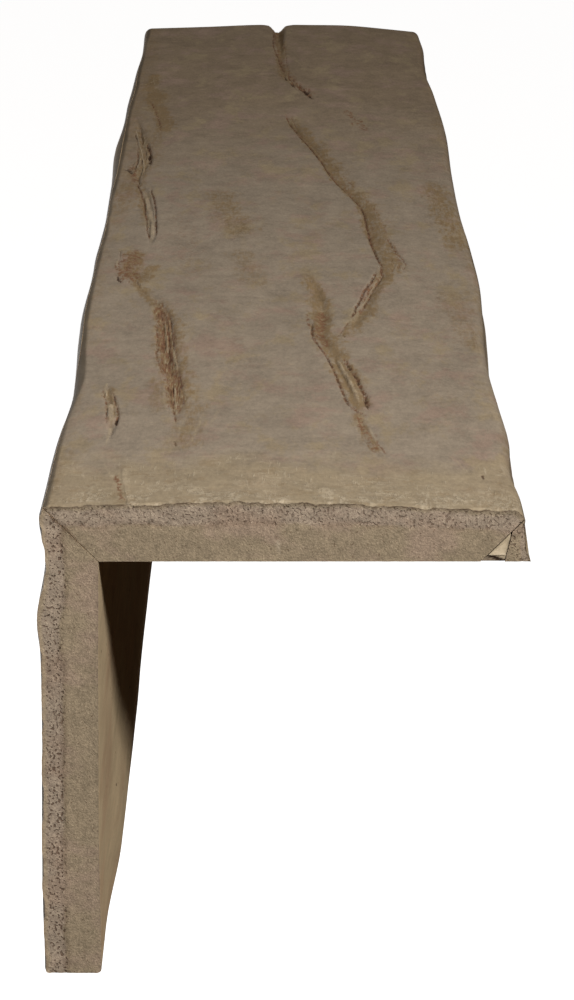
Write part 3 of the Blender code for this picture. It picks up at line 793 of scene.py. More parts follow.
class Shell:
    """Collects grids and flat polygons of shared points into one closed mesh with painted attributes."""

    PAINTS = (*Relief.TINTS, "shade", "rind", "pits")

    def __init__(self) -> None:
        """Starts with nothing in it."""
        self.points: list[Array] = []
        self.paint: dict[str, list[Array]] = {name: [] for name in self.PAINTS}
        self.count = 0
        self.quads: list[Array] = []
        self.quad_slots: list[Array] = []
        self.polygons: list[tuple[Array, int]] = []

    def add(self, points: Array, **paint: Array) -> Array:
        """Adds a grid of points.

        Args:
            points: Rows by columns by three.
            paint: Painted values by attribute name, rows by columns.

        Returns:
            The points' indices, rows by columns.
        """
        rows, columns = points.shape[:2]
        self.points.append(points.reshape(-1, 3))
        for name in self.PAINTS:
            values = paint.get(name, np.zeros((rows, columns)))
            self.paint[name].append(np.broadcast_to(values, (rows, columns)).ravel())
        index = np.arange(self.count, self.count + rows * columns).reshape(rows, columns)
        self.count += rows * columns
        return index

    def skin(self, index: Array, slot: int, flip: bool = False) -> None:
        """Covers a grid of indices with four-sided faces.

        Args:
            index: Rows by columns of indices. The faces look along columns crossed with rows.
            slot: The material's place on the piece.
            flip: Turns the faces round.
        """
        corners = [index[:-1, :-1], index[:-1, 1:], index[1:, 1:], index[1:, :-1]]
        if flip:
            corners.reverse()
        quads = np.stack(corners, axis=-1).reshape(-1, 4)
        self.quads.append(quads)
        self.quad_slots.append(np.full(len(quads), slot))

    def polygon(self, rim: Array, slot: int) -> None:
        """Covers a flat rim with one face, which looks the way that the rim turns."""
        self.polygons.append((rim, slot))

    def piece(self, name: str, materials: list[Material], sharp: float) -> Object:
        """Makes the mesh and its object, held inside the whole model's box.

        Args:
            name: The piece's name.
            materials: Its materials, by slot.
            sharp: Degrees between faces past which an edge is sharp.

        Returns:
            The object.
        """
        points = np.clip(np.concatenate(self.points), CAD_BOX[0], CAD_BOX[1])
        quads = np.concatenate(self.quads)
        rims, rim_slots = zip(*self.polygons)
        loops = np.concatenate([quads.ravel(), *rims]).astype(np.int32)
        sizes = np.concatenate([np.full(len(quads), 4), [len(rim) for rim in rims]]).astype(np.int32)
        slots = np.concatenate([*self.quad_slots, rim_slots]).astype(np.int32)
        mesh = bpy.data.meshes.new(name)
        mesh.vertices.add(len(points))
        mesh.vertices.foreach_set("co", points.astype(np.float32).ravel())
        mesh.loops.add(len(loops))
        mesh.loops.foreach_set("vertex_index", loops)
        mesh.polygons.add(len(sizes))
        mesh.polygons.foreach_set("loop_start", np.concatenate([[0], np.cumsum(sizes)[:-1]]).astype(np.int32))
        mesh.polygons.foreach_set("loop_total", sizes)
        mesh.polygons.foreach_set("material_index", slots)
        mesh.polygons.foreach_set("use_smooth", sizes == 4)
        for paint, values in self.paint.items():
            layer = mesh.attributes.new(paint, "FLOAT", "POINT")
            layer.data.foreach_set("value", np.concatenate(values).astype(np.float32))
        mesh.update(calc_edges=True)
        mesh.validate()
        mesh.set_sharp_from_angle(angle=math.radians(sharp))
        for material in materials:
            mesh.materials.append(material)
        return placed(name, mesh)


def placed(name: str, data: bpy.types.ID) -> Object:
    """A new object with this data, put into the scene."""
    made = bpy.data.objects.new(name, data)
    bpy.context.scene.collection.objects.link(made)
    return made


class Graph:
    """A material's node tree, built by short calls. A Mix node's sockets share names, so are numbered."""

    MIX_PLACES = (0, 6, 7)
    MIX_RESULT = 2

    def __init__(self, name: str) -> None:
        """Starts a material with a Principled BSDF and its output.

        Args:
            name: The material's name.
        """
        self.material = bpy.data.materials.new(name)
        self.material.use_nodes = True
        self.tree = self.material.node_tree
        self.shader = self.tree.nodes["Principled BSDF"]
        self.place = self.add("ShaderNodeTexCoord").outputs["Object"]

    def add(self, kind: str, sockets: dict | None = None, **settings: object) -> bpy.types.Node:
        """Adds a node.

        Args:
            kind: The node's type.
            sockets: Input by name or number: a socket to link, or a value to set.
            settings: The node's own settings.

        Returns:
            The node.
        """
        node = self.tree.nodes.new(kind)
        for name, value in settings.items():
            setattr(node, name, value)
        for name, value in (sockets or {}).items():
            if isinstance(value, Socket):
                self.tree.links.new(value, node.inputs[name])
            else:
                node.inputs[name].default_value = value
        return node

    def painted(self, name: str) -> Socket:
        """The value of a painted attribute."""
        return self.add("ShaderNodeAttribute", attribute_name=name).outputs["Fac"]

    def axis(self, name: str) -> Socket:
        """One of the object coordinates, in metres."""
        return self.add("ShaderNodeSeparateXYZ", {0: self.place}).outputs[name]

    def stretched(self, size: tuple[float, float, float]) -> Socket:
        """Object coordinates in units of a patch's size, in millimetres."""
        scale = tuple(1 / (part * MM) for part in size)
        return self.add("ShaderNodeMapping", {"Vector": self.place, "Scale": scale}).outputs["Vector"]

    def cloud(self, size: tuple[float, float, float], detail: float = 3.0, rough: float = 0.55) -> Socket:
        """Noise from 0 to 1 in patches of a size in millimetres.

        Args:
            size: A patch's size along X, Y and Z.
            detail: How many finer layers.
            rough: How strong they are.

        Returns:
            The noise's socket.
        """
        sockets = {"Vector": self.stretched(size), "Scale": 1.0, "Detail": detail, "Roughness": rough}
        return self.add("ShaderNodeTexNoise", sockets).outputs["Fac"]

    def between(self, value: Socket, low: float, high: float, start: float = 0.0, end: float = 1.0) -> Socket:
        """Maps a value smoothly from one range to another, held at its ends.

        Args:
            value: What is mapped.
            low: Where it starts to rise.
            high: Where it stops.
            start: The result below.
            end: The result above.

        Returns:
            The mapped value's socket.
        """
        sockets = {"Value": value, "From Min": low, "From Max": high, "To Min": start, "To Max": end}
        return self.add("ShaderNodeMapRange", sockets, interpolation_type="SMOOTHSTEP").outputs["Result"]

    def maths(self, operation: str, first: object, second: object) -> Socket:
        """One sum, by its name, on two values that are sockets or numbers."""
        return self.add("ShaderNodeMath", {0: first, 1: second}, operation=operation).outputs[0]

    def both(self, *values: object) -> Socket:
        """The product of two or more values."""
        product = values[0]
        for value in values[1:]:
            product = self.maths("MULTIPLY", product, value)
        return product

    def texture(self, *layers: tuple[Socket, float]) -> Socket:
        """Light and dark about 1: one plus the sum of each noise less a half, times its strength.

        Args:
            layers: Each noise and its strength.

        Returns:
            The factor's socket.
        """
        total = 1.0
        for value, strength in layers:
            sockets = {0: value, 1: strength, 2: -strength / 2}
            swing = self.add("ShaderNodeMath", sockets, operation="MULTIPLY_ADD")
            total = self.maths("ADD", swing.outputs[0], total)
        return total

    def mix(self, share: object, under: object, over: object, blend: str = "MIX") -> Socket:
        """Lays one colour over another.

        Args:
            share: How much of the upper colour shows.
            under: The lower colour.
            over: The upper colour.
            blend: How they are mixed.

        Returns:
            The colour's socket.
        """
        opaque = [colour if isinstance(colour, Socket) else (*colour, 1.0) for colour in (under, over)]
        sockets = dict(zip(self.MIX_PLACES, (share, *opaque)))
        node = self.add("ShaderNodeMix", sockets, data_type="RGBA", blend_type=blend)
        return node.outputs[self.MIX_RESULT]

    def finish(self, colour: Socket, roughness: Socket, height: Socket, distance: float,
               specular: float) -> Material:
        """Wires colour, roughness and bump to the shader, and sets its specular level.

        Args:
            colour: The colour's socket.
            roughness: The roughness socket.
            height: The bump's height from 0 to 1.
            distance: What a height of 1 stands for, in metres.
            specular: How strongly it reflects.

        Returns:
            The material.
        """
        self.shader.inputs["Specular IOR Level"].default_value = specular
        bump = self.add("ShaderNodeBump", {"Height": height, "Strength": 1.0, "Distance": distance})
        self.tree.links.new(colour, self.shader.inputs["Base Color"])
        self.tree.links.new(roughness, self.shader.inputs["Roughness"])
        self.tree.links.new(bump.outputs["Normal"], self.shader.inputs["Normal"])
        return self.material


Colour = tuple[float, float, float]


@dataclass(frozen=True)
class WeatheredStain:
    """The hewn skin's finish: grey-brown stain with tinted clouds, cross streaks, the painted marks and
    painted shade.
    """

    grey: Colour = (0.256, 0.204, 0.148)
    olive: Colour = (0.222, 0.165, 0.108)
    pink: Colour = (0.262, 0.186, 0.137)
    tan: Colour = (0.268, 0.205, 0.126)
    front: Colour = (0.285, 0.220, 0.138)
    ochre: Colour = (0.208, 0.141, 0.072)
    rust: Colour = (0.172, 0.086, 0.044)
    ember: Colour = (0.105, 0.044, 0.022)
    dark: Colour = (0.042, 0.022, 0.012)
    cream: Colour = (0.335, 0.262, 0.172)
    fleck: Colour = (0.410, 0.335, 0.235)
    shadow: Colour = (0.066, 0.050, 0.031)
    front_line: float = -0.672
    roughness: float = 0.62
    specular: float = 0.26
    bump: float = 0.0003

    def material(self) -> Material:
        """Mixes the finish.

        Returns:
            The material.
        """
        g = Graph("weathered_stain")
        along = g.axis("Y")
        broad = g.cloud((34, 60, 34), 4.0, 0.6)
        farther = g.between(g.texture((along, 2.0), (broad, 0.8)), -0.10, 0.95)
        colour = g.mix(farther, self.grey, self.olive)
        colour = g.mix(g.between(g.cloud((24, 50, 24), 6.0, 0.68), 0.49, 0.64, 0.0, 0.90), colour, self.pink)
        colour = g.mix(g.between(g.cloud((20, 62, 26), 6.0, 0.68), 0.51, 0.64, 0.0, 0.85), colour, self.tan)
        streaks = g.cloud((17, 5.0, 17), 4.0, 0.68)
        blotches = g.cloud((5.5, 9.0, 5.5), 4.0, 0.68)
        speckle = g.cloud((1.5, 4.2, 1.5), 3.0, 0.7)
        broad_shade = g.cloud((15, 34, 15), 3.0)
        shade = g.texture((streaks, 0.26), (blotches, 0.50), (broad_shade, 0.45), (speckle, 0.60))
        wavering = g.texture((along, 1.0), (g.cloud((20, 40, 20), 3.0), 0.10))
        line = self.front_line + 0.5
        front = g.between(wavering, line - 0.025, line + 0.020, 1.0, 0.0)
        colour = g.mix(g.both(front, 0.85), colour, self.front)
        dashes = g.both(g.between(g.cloud((6.0, 2.0, 6.0), 2.0), 0.64, 0.72),
                        g.between(g.cloud((46, 70, 46), 1.0), 0.48, 0.62))
        colour = g.mix(g.both(dashes, 0.55), colour, self.cream)
        patchy = g.cloud((2.8, 9.0, 2.8), 5.0, 0.75)
        fibres = g.cloud((0.85, 17.0, 0.85), 2.0, 0.6)
        ragged = g.between(g.maths("ADD", g.both(patchy, 0.75), g.both(fibres, 0.25)), 0.40, 0.60, 0.45, 1.40)
        specks = g.between(g.cloud((2.2, 5.0, 2.2), 4.0, 0.72), 0.44, 0.58, 0.20, 1.7)
        torn = self.ember
        for low, high, over in ((0.39, 0.46, self.rust), (0.50, 0.56, self.ochre), (0.61, 0.68, self.cream)):
            torn = g.mix(g.between(fibres, low, high), torn, over)
        tints = (("ochre", ragged, 0.02, 0.90, 0.98, self.ochre),
                 ("rust", specks, 0.05, 1.05, 0.92, self.rust),
                 ("torn", ragged, 0.12, 0.80, 0.88, torn),
                 ("cream", ragged, 0.10, 0.70, 0.85, self.cream),
                 ("dark", ragged, 0.12, 0.90, 0.92, self.dark))
        for paint, broken, low, high, most, tint in tints:
            share = g.between(g.both(g.painted(paint), broken), low, high, 0.0, most)
            colour = g.mix(share, colour, tint)
        frayed_edge = g.between(along, -0.738, -0.700, 1.0, 0.0)
        clumps = g.between(g.cloud((15, 20, 15), 3.0), 0.42, 0.56)
        thin = g.both(g.between(g.cloud((1.3, 15.0, 1.3), 2.0, 0.5), 0.58, 0.68), front, clumps)
        smears = g.both(g.between(g.cloud((7.0, 4.0, 7.0), 4.0, 0.72), 0.53, 0.64), front, clumps)
        chips = g.both(g.between(g.cloud((2.4, 6.0, 2.4), 4.0, 0.72), 0.47, 0.58), frayed_edge, clumps)
        splinters = g.maths("MAXIMUM", g.maths("MAXIMUM", g.both(thin, 0.8), g.both(smears, 0.6)), chips)
        colour = g.mix(g.both(splinters, 0.65), colour, self.fleck)
        stains = g.both(g.between(g.cloud((9.0, 14.0, 9.0), 4.0, 0.7), 0.54, 0.64), front)
        colour = g.mix(g.both(stains, 0.35), colour, self.ochre)
        colour = g.mix(1.0, colour, shade, "MULTIPLY")
        # Painted shade on the arrises that turn away from the light and on the side's top by the mitre.
        colour = g.mix(g.painted("shade"), colour, self.shadow)
        rough = g.between(streaks, 0.2, 0.8, self.roughness - 0.05, self.roughness + 0.12)
        grain = g.maths("ADD", g.both(g.cloud((1.4, 9.0, 1.4), 4.0, 0.6), 0.40), g.both(blotches, 0.35))
        height = g.maths("ADD", grain, g.both(splinters, 0.5))
        return g.finish(colour, rough, height, self.bump, self.specular)


@dataclass(frozen=True)
class SawnFoam:
    """A sawn end: a coarse band next to the skin, a painted shadow line, and finer foam further in."""

    outer: Colour = (0.296, 0.230, 0.168)
    inner: Colour = (0.252, 0.194, 0.126)
    pink: Colour = (0.282, 0.205, 0.146)
    skin: Colour = (0.300, 0.232, 0.148)
    pit: Colour = (0.075, 0.036, 0.020)
    fleck: Colour = (0.400, 0.325, 0.235)
    seam: float = 0.36
    specular: float = 0.12
    bump: float = 0.0007

    def material(self) -> Material:
        """Mixes the finish. The painted rind is 0 at the skin and 1 at the back.

        Returns:
            The material.
        """
        g = Graph("sawn_foam")
        wavering = g.texture((g.painted("rind"), 1.0), (g.cloud((26, 26, 13), 3.0), 0.16))
        seam = self.seam + 0.5
        deep = g.between(wavering, seam - 0.04, seam + 0.04)
        colour = g.mix(deep, self.outer, self.inner)
        colour = g.mix(g.between(g.cloud((34, 34, 20), 4.0), 0.46, 0.62, 0.0, 0.85), colour, self.pink)
        rim = g.between(wavering, 0.53, 0.60, 1.0, 0.0)
        colour = g.mix(g.both(rim, 0.7), colour, self.skin)
        # A painted shadow line where the coarse band meets the finer foam, over the shallow groove there, in
        # the pits' dark colour.
        line = g.both(g.between(wavering, seam - 0.10, seam - 0.01),
                      g.between(wavering, seam, seam + 0.12, 1.0, 0.0),
                      g.between(g.cloud((18, 18, 18), 3.0), 0.38, 0.58))
        colour = g.mix(g.both(line, 0.24), colour, self.pit)
        grain = g.cloud((1.0, 1.0, 1.0), 3.0, 0.72)
        coarse = g.cloud((2.8, 2.8, 2.8), 3.0, 0.65)
        shade = g.texture((grain, 1.0), (coarse, 0.75), (g.cloud((9, 9, 9), 2.0), 0.40))
        holes = g.cloud((1.15, 1.15, 1.15), 0.0, 0.4)
        clumps = g.between(g.cloud((8, 8, 8), 2.0), 0.34, 0.52, 0.40, 0.85)
        pits = g.both(g.between(holes, 0.600, 0.690), clumps, g.painted("pits"))
        pinholes = g.both(g.between(g.cloud((1.1, 1.1, 1.1), 1.0), 0.68, 0.74), 0.5)
        flecks = g.both(g.between(grain, 0.60, 0.70), g.between(deep, 0.0, 1.0, 0.55, 0.30))
        colour = g.mix(flecks, colour, self.fleck)
        colour = g.mix(1.0, colour, shade, "MULTIPLY")
        colour = g.mix(g.maths("MAXIMUM", g.both(pits, 0.9), pinholes), colour, self.pit)
        colour = g.mix(g.painted("dark"), colour, self.pit)
        colour = g.mix(g.painted("cream"), colour, self.fleck)
        height = g.maths("SUBTRACT", g.both(grain, 0.7), g.both(pits, 0.9))
        rough = g.between(grain, 0.3, 0.7, 0.8, 0.95)
        return g.finish(colour, rough, height, self.bump, self.specular)


@dataclass(frozen=True)
class PlanedBack:
    """The plain inner sides: smooth tan foam with faint lengthwise marks and a few pinholes."""

    tan: Colour = (0.500, 0.375, 0.225)
    warm: Colour = (0.450, 0.310, 0.185)
    pit: Colour = (0.060, 0.032, 0.018)
    specular: float = 0.2
    bump: float = 0.0005

    def material(self) -> Material:
        """Mixes the finish.

        Returns:
            The material.
        """
        g = Graph("planed_back")
        colour = g.mix(g.between(g.cloud((30, 130, 22), 4.0), 0.4, 0.65), self.tan, self.warm)
        marks = g.cloud((3.0, 90.0, 3.0), 3.0, 0.6)
        grain = g.cloud((1.2, 2.4, 1.2), 3.0, 0.7)
        shade = g.texture((marks, 0.35), (grain, 0.5), (g.cloud((12, 40, 12), 3.0), 0.35))
        holes = g.both(g.between(g.cloud((3.6, 6.0, 3.6), 1.0), 0.715, 0.76),
                       g.between(g.cloud((34, 34, 34), 1.0), 0.48, 0.58))
        colour = g.mix(1.0, g.mix(holes, colour, self.pit), shade, "MULTIPLY")
        height = g.maths("SUBTRACT", g.both(grain, 0.4), holes)
        rough = g.between(grain, 0.3, 0.7, 0.66, 0.82)
        return g.finish(colour, rough, height, self.bump, self.specular)


@dataclass(frozen=True)
class CreamGlue:
    """Cured cream glue with a slight sheen and dusty patches, crumbs by the rind, and painted shade where
    dark.
    """

    cream: Colour = (0.450, 0.360, 0.240)
    dusty: Colour = (0.310, 0.236, 0.155)
    crumb: Colour = (0.235, 0.180, 0.125)
    # Painted shade: the hole below the bead's near end and the gap by the strip.
    hole_and_gap_shade: Colour = (0.030, 0.016, 0.010)
    roughness: float = 0.42
    specular: float = 0.35
    bump: float = 0.0004

    def material(self) -> Material:
        """Mixes the finish.

        Returns:
            The material.
        """
        g = Graph("cream_glue")
        dust = g.cloud((3.5, 8.0, 3.5), 4.0, 0.6)
        colour = g.mix(g.between(dust, 0.48, 0.68), self.cream, self.dusty)
        crumbs = g.texture((g.cloud((1.2, 1.2, 1.2), 3.0, 0.7), 1.6))
        colour = g.mix(g.painted("rind"), colour, g.mix(1.0, self.crumb, crumbs, "MULTIPLY"))
        # Painted shade where the paint is dark: the hole below the near end and the gap by the strip.
        colour = g.mix(g.painted("dark"), colour, self.hole_and_gap_shade)
        rough = g.between(dust, 0.4, 0.7, self.roughness, self.roughness + 0.3)
        return g.finish(colour, rough, dust, self.bump, self.specular)


@dataclass(frozen=True)
class Finishes:
    """The beam's materials, each mixed once. SKIN, END and BACK are their places on a board."""

    SKIN = 0
    END = 1
    BACK = 2
    stain: Material
    foam: Material
    back: Material
    glue: Material

    @classmethod
    def mixed(cls) -> "Finishes":
        """Mixes all finishes."""
        return cls(WeatheredStain().material(), SawnFoam().material(), PlanedBack().material(),
                   CreamGlue().material())

    def board(self) -> list[Material]:
        """A board's materials, in the order of their places."""
        return [self.stain, self.foam, self.back]


@dataclass
class Board:
    """What the milled boards share: stations along the beam, crumbly ends and the skin's small relief."""

    blank: Blank
    rows: int = 388
    lead: tuple[float, ...] = (0.0, 0.0004, 0.0009, 0.0016, 0.0025, 0.0037)
    lead_step: float = 0.0016
    crowd_samples: int = 700
    crowd_pull: float = 1.8
    crowd_reach: float = 70.0
    arris_turn: tuple[float, float] = (0.006, 1.0)
    held_edge: float = 0.003
    end_steps: int = 20
    end_seeds: tuple[int, int] = (401, 431)
    skin_seed: int = 301
    sharp: float = 55.0
    crumb: float = 0.00065
    weather: float = 0.00055
    far_keep: float = 0.05
    worn_place: float = -0.49
    chip: float = 0.0011
    chip_reach: float = 0.0026
    pit_start: float = 0.0
    pit_end: float = 0.36
    pit_strength: float = 0.55

    def stations(self) -> Array:
        """Places along the beam, from the near end to the far end, closer together at the sawn ends."""
        near, far = self.blank.near_y, self.blank.far_y
        lead = np.array(self.lead)
        step = lead[-1] + self.lead_step
        middle = np.linspace(near + step, far - step, self.rows)
        return np.concatenate([near + lead, middle, far - lead[::-1]])

    def weathering(self, across: Array, along: Array) -> Array:
        """How far weather, the adze and chipping have lowered the skin, never above it.

        Slow dips and fine grain, which fade out at the far end, and chips that grow towards the near end.

        Args:
            across: Developed metres across.
            along: Metres along.

        Returns:
            Metres inwards.
        """
        dips = 0.5 + 0.5 * Grain.DIPS.at(across, along, self.skin_seed)
        grain = 0.5 + 0.5 * Grain.SKIN.at(across, along, self.skin_seed)
        near = 1 - ease((along - self.blank.near_y) / self.chip_reach)
        kept = ease((self.blank.far_y - along) / self.far_keep)
        bites = np.clip(0.35 + 0.9 * Grain.BITES.at(across, along * 0, self.skin_seed), 0, 1)
        return self.weather * (0.8 * dips + 0.2 * grain) * kept + self.chip * bites * near

    def crowded(self, strokes: tuple[Stroke, ...], along: Array, low: Array, high: Array, offset: float,
                columns: int, turns: tuple[tuple[float, float, float], ...] = ()) -> Array:
        """Places across each station, crowded towards the fine marks and the tight turns.

        A density is summed over a fine row, its running total is scaled to 0 to 1, and equal shares of it are
        read back as places. The rows are read at once, each lifted by its own number.

        Args:
            strokes: The marks.
            along: Stations.
            low: Where each station starts.
            high: Where each station ends.
            offset: What is added to a developed place to get the strokes' own places.
            columns: How many places.
            turns: Developed place, reach and pull of each tight turn.

        Returns:
            Developed places, stations by columns.
        """
        share = np.linspace(0, 1, self.crowd_samples)
        place = low[:, None] + (high - low)[:, None] * share[None, :]
        density = np.ones_like(place)
        for at, reach, weight in turns:
            density = np.maximum(density, 1 + weight * np.exp(-((place - at) / reach) ** 2))
        for stroke in strokes:
            if not stroke.mark.value.fine:
                continue
            start, stop = stroke.reach
            rows = (along / MM > start - self.crowd_reach) & (along / MM < stop + self.crowd_reach)
            y = along[rows] / MM
            near = ease((y - start) / self.crowd_reach + 1) * ease((stop - y) / self.crowd_reach + 1)
            width = max(stroke.left, stroke.right) + 1.0
            apart = ((place[rows] + offset) / MM - smooth_line(stroke.line, y)[:, None]) / width
            crowd = 1 + self.crowd_pull * near[:, None] * np.exp(-apart ** 2)
            density[rows] = np.maximum(density[rows], crowd)
        total = np.cumsum((density[:, 1:] + density[:, :-1]) / 2, axis=1)
        total = np.concatenate([np.zeros((len(along), 1)), total], axis=1)
        total /= total[:, -1:]
        lift = np.arange(len(along))[:, None] * 2.0
        wanted = np.linspace(0, 1, columns)[None, :] + lift
        read = np.interp(wanted.ravel(), (total + lift).ravel(), (share[None, :] + 0 * lift).ravel())
        return low[:, None] + (high - low)[:, None] * read.reshape(len(along), columns)

    def sunk(self, x: Array, z: Array, depth: Array) -> tuple[Array, Array]:
        """Moves the outer line inwards by a depth, square to itself.

        Args:
            x: X, stations by columns, running with the outer line.
            z: Z in the same way.
            depth: Metres inwards.

        Returns:
            The new X and Z.
        """
        run_x, run_z = np.gradient(x, axis=1), np.gradient(z, axis=1)
        length = np.maximum(np.hypot(run_x, run_z), 1e-9)
        return x + depth * run_z / length, z - depth * run_x / length

    def rim_wear_and_shade(self, developed: Array, low: Array, high: Array, y: Array) -> dict[str, Array]:
        """Worn ochre and pale flecks along the arrises and sawn ends, by the distance from them, broken by
        noise.

        Painted shade darkens the arrises where they turn from the light, and a painted shadow line runs along
        each sawn end.

        Args:
            developed: Developed places.
            low: Where each station's skin starts, or far below it where that side isn't an arris.
            high: Where each station's skin ends, or far above it.
            y: Metres along.

        Returns:
            The tints, the painted shade and shadow among them.
        """
        broken, small = Grain.BROKEN.at(developed, y), Grain.SMALL.at(developed, y)
        slow = Grain.SLOW.at(developed * 0, y)
        left = 1 - ease((developed - low[:, None] - 0.009 * broken - 0.003) / 0.010)
        right = 1 - ease((high[:, None] - developed - 0.009 * broken) / 0.016)
        worn = np.exp(-((y - self.worn_place) / 0.055) ** 2)
        # Painted shade on the arris as it turns away from the light, widest at the worn place, and a thin
        # band of it at the high edge.
        reach = 0.0012 + 0.0007 * slow + 0.0034 * worn
        turned = 1 - ease((developed - low[:, None] - reach) / 0.0016)
        thin = 1 - ease((high[:, None] - developed - 0.0006 - 0.0006 * slow) / 0.0010)
        turned = np.maximum(turned, thin)
        # A painted shadow line along the skin's edge at each sawn end, with pale flecks beside it.
        out = np.minimum(y - self.blank.near_y, self.blank.far_y - y)
        lip = 1 - ease(out / 0.0016)
        return {"ochre": np.clip(0.35 * left + 0.42 * right * (0.75 + 0.45 * broken), 0, 1),
                "shade": np.clip(turned * (0.75 + 0.2 * slow), 0, 1),
                "dark": np.clip(lip * (0.45 + 0.8 * small), 0, 1),
                "cream": 0.8 * ease((small - 0.35) / 0.3) * (1 - ease((out - 0.001) / 0.004))}

    def crumbled(self, x: Array, z: Array, rind: Array, seed: int) -> Array:
        """How far the sawn end's crumb lies back: coarse near the skin, fine further in.

        Args:
            x: X on the end.
            z: Z on the end.
            rind: 0 at the skin and 1 at the back.
            seed: Which pattern.

        Returns:
            Metres back from the saw's plane.
        """
        coarse, fine = Grain.COARSE_CRUMB.at(x, z, seed), Grain.FINE_CRUMB.at(x, z, seed)
        outer = 1 - ease((rind - 0.30) / 0.10)
        groove = np.exp(-((rind - 0.34) / 0.04) ** 2)
        back = (0.5 + 0.5 * coarse) * (0.35 + 0.65 * outer) + 0.25 * (0.5 + 0.5 * fine) + 0.35 * groove
        return self.crumb * np.clip(back, 0, 1.6)

    def end(self, shell: Shell, outer: Array, inner: Array, seed: int, toward: float,
            own_back: bool) -> Array:
        """Adds the points of a sawn end between its skin and its back, without the skin's own points.

        Args:
            shell: Where they go.
            outer: The skin's last line of points.
            inner: The back's line of points, as many.
            seed: Which crumb.
            toward: 1 where the crumb lies back along Y, at the near end, and -1 at the far end.
            own_back: Whether the line at the back is added too.

        Returns:
            Their indices, from the back to the skin.
        """
        share = np.linspace(0, 1, self.end_steps, endpoint=False)[:, None, None]
        if not own_back:
            share = share[1:]
        points = inner[None] * (1 - share) + outer[None] * share
        rind = 1 - share[:, :, 0] + 0 * points[:, :, 0]
        x, z = points[:, :, 0], points[:, :, 2]
        points[:, :, 1] += toward * self.crumbled(x, z, rind, seed)
        pits = (self.pit_strength * ease((rind - self.pit_start) / 0.04)
                * (1 - ease((rind - self.pit_end) / 0.06)))
        scar = self.scar(x, z)
        small = Grain.END_DIRT.at(x, z, seed)
        seam = self.seam_shade(x, z) * np.clip(0.5 + small, 0, 1)
        return shell.add(points, rind=rind, pits=pits, dark=np.clip(0.6 * scar * (small > 0) + seam, 0, 1),
                         cream=0.6 * scar * (small <= 0))

    def closed(self, shell: Shell, outer: Array, inner: Array, outer_paint: dict[str, Array],
               inner_paint: dict[str, Array], inner_slot: int, edges: tuple[tuple[int, int], ...]) -> None:
        """Adds two matching sides, both sawn ends between them, and a flat polygon along each long edge.

        Args:
            shell: Where they go.
            outer: The outer side's points.
            inner: The inner side's points, as many.
            outer_paint: The outer side's painted values.
            inner_paint: The inner side's painted values.
            inner_slot: The inner side's material.
            edges: Column and material of each long edge.
        """
        outside, inside = shell.add(outer, **outer_paint), shell.add(inner, **inner_paint)
        shell.skin(outside, Finishes.SKIN)
        shell.skin(inside, inner_slot, flip=True)
        rims = []
        for (row, toward), seed in zip(ENDS, self.end_seeds):
            rims.append(self.end(shell, outer[row], inner[row], seed, toward, False))
            skin = np.concatenate([inside[row][None], rims[-1], outside[row][None]])
            shell.skin(skin, Finishes.END, flip=toward < 0)
        near, far = rims
        for column, slot in edges:
            sides = [outside[:, column], far[::-1, column], inside[::-1, column], near[:, column]]
            rim = np.concatenate(sides)
            shell.polygon(rim if column == 0 else rim[::-1], slot)

    def scar(self, x: Array, z: Array) -> Array:
        """A short slanting scar in the middle of a sawn end, from 0 to 1."""
        across = (x + 0.003 + 0.25 * (z - 0.007)) / 0.0009
        return np.exp(-across ** 2) * np.exp(-((z - 0.0075) / 0.004) ** 2)

    def seam_shade(self, x: Array, z: Array) -> Array:
        """Dirt along the left mitre on a sawn end: strongest at the skin, gone before the inner corner.

        Args:
            x: X on the end.
            z: Z on the end.

        Returns:
            The dirt from 0 to 1.
        """
        apart = (x + z - self.blank.inner_corner_x) / math.sqrt(2)
        return 0.9 * np.exp(-(apart / 0.0010) ** 2) * ease((z - 0.004) / 0.010)


@dataclass
class FaceBoard(Board):
    """The wide board, mitred at both edges, with the hewn face."""

    rows: int = 430
    columns: int = 192

    def build(self, finishes: Finishes) -> Object:
        """Builds the board: the face as a grid, two sawn ends, and flat polygons for its back and mitres.

        Args:
            finishes: The materials.

        Returns:
            The piece.
        """
        b = self.blank
        along = self.stations()
        share = b.share(along)
        _, face_start, face_end, _ = b.bends
        left_level = b.inner_corner_x + b.half_gap_shift
        right_level = b.mitre_foot_x - b.half_gap_shift
        low, high = b.left_mitre(share, left_level), b.right_mitre(share, right_level)
        offset = -b.half_width + b.arris_radius - face_start
        turns = ((face_start, *self.arris_turn), (face_end, *self.arris_turn))
        developed = self.crowded(FACE_STROKES, along, low, high, offset, self.columns, turns)
        x, z = b.outline(developed, share[:, None])
        y = np.repeat(along[:, None], self.columns, axis=1)
        relief = Relief.of(FACE_STROKES, x, y)
        held = (ease((developed - low[:, None]) / self.held_edge)
                * ease((high[:, None] - developed) / self.held_edge))
        depth = (relief.sink + self.weathering(developed, y)) * held
        x, z = self.sunk(x, z, np.maximum(depth, 0.0))
        relief.wear_and_shade(self.rim_wear_and_shade(developed, low, high, y))
        shell = Shell()
        outer = np.stack([x, y, z], axis=-1)
        face = shell.add(outer, **relief.tints)
        shell.skin(face, Finishes.SKIN)
        back_x = np.linspace(left_level, right_level, self.columns)
        ends = []
        for (row, toward), seed in zip(ENDS, self.end_seeds):
            inner = np.stack([back_x, y[row], 0 * z[row]], axis=-1)
            ends.append(self.end(shell, outer[row], inner, seed, toward, True))
            shell.skin(np.concatenate([ends[-1], face[row][None]]), Finishes.END, flip=toward < 0)
        near, far = ends
        shell.polygon(np.concatenate([near[0][::-1], far[0]]), Finishes.BACK)
        shell.polygon(np.concatenate([near[:, 0], face[:, 0], far[::-1, 0]]), Finishes.BACK)
        shell.polygon(np.concatenate([near[:, -1], face[:, -1], far[::-1, -1]])[::-1], Finishes.BACK)
        return shell.piece("hewn_face_board", finishes.board(), self.sharp)


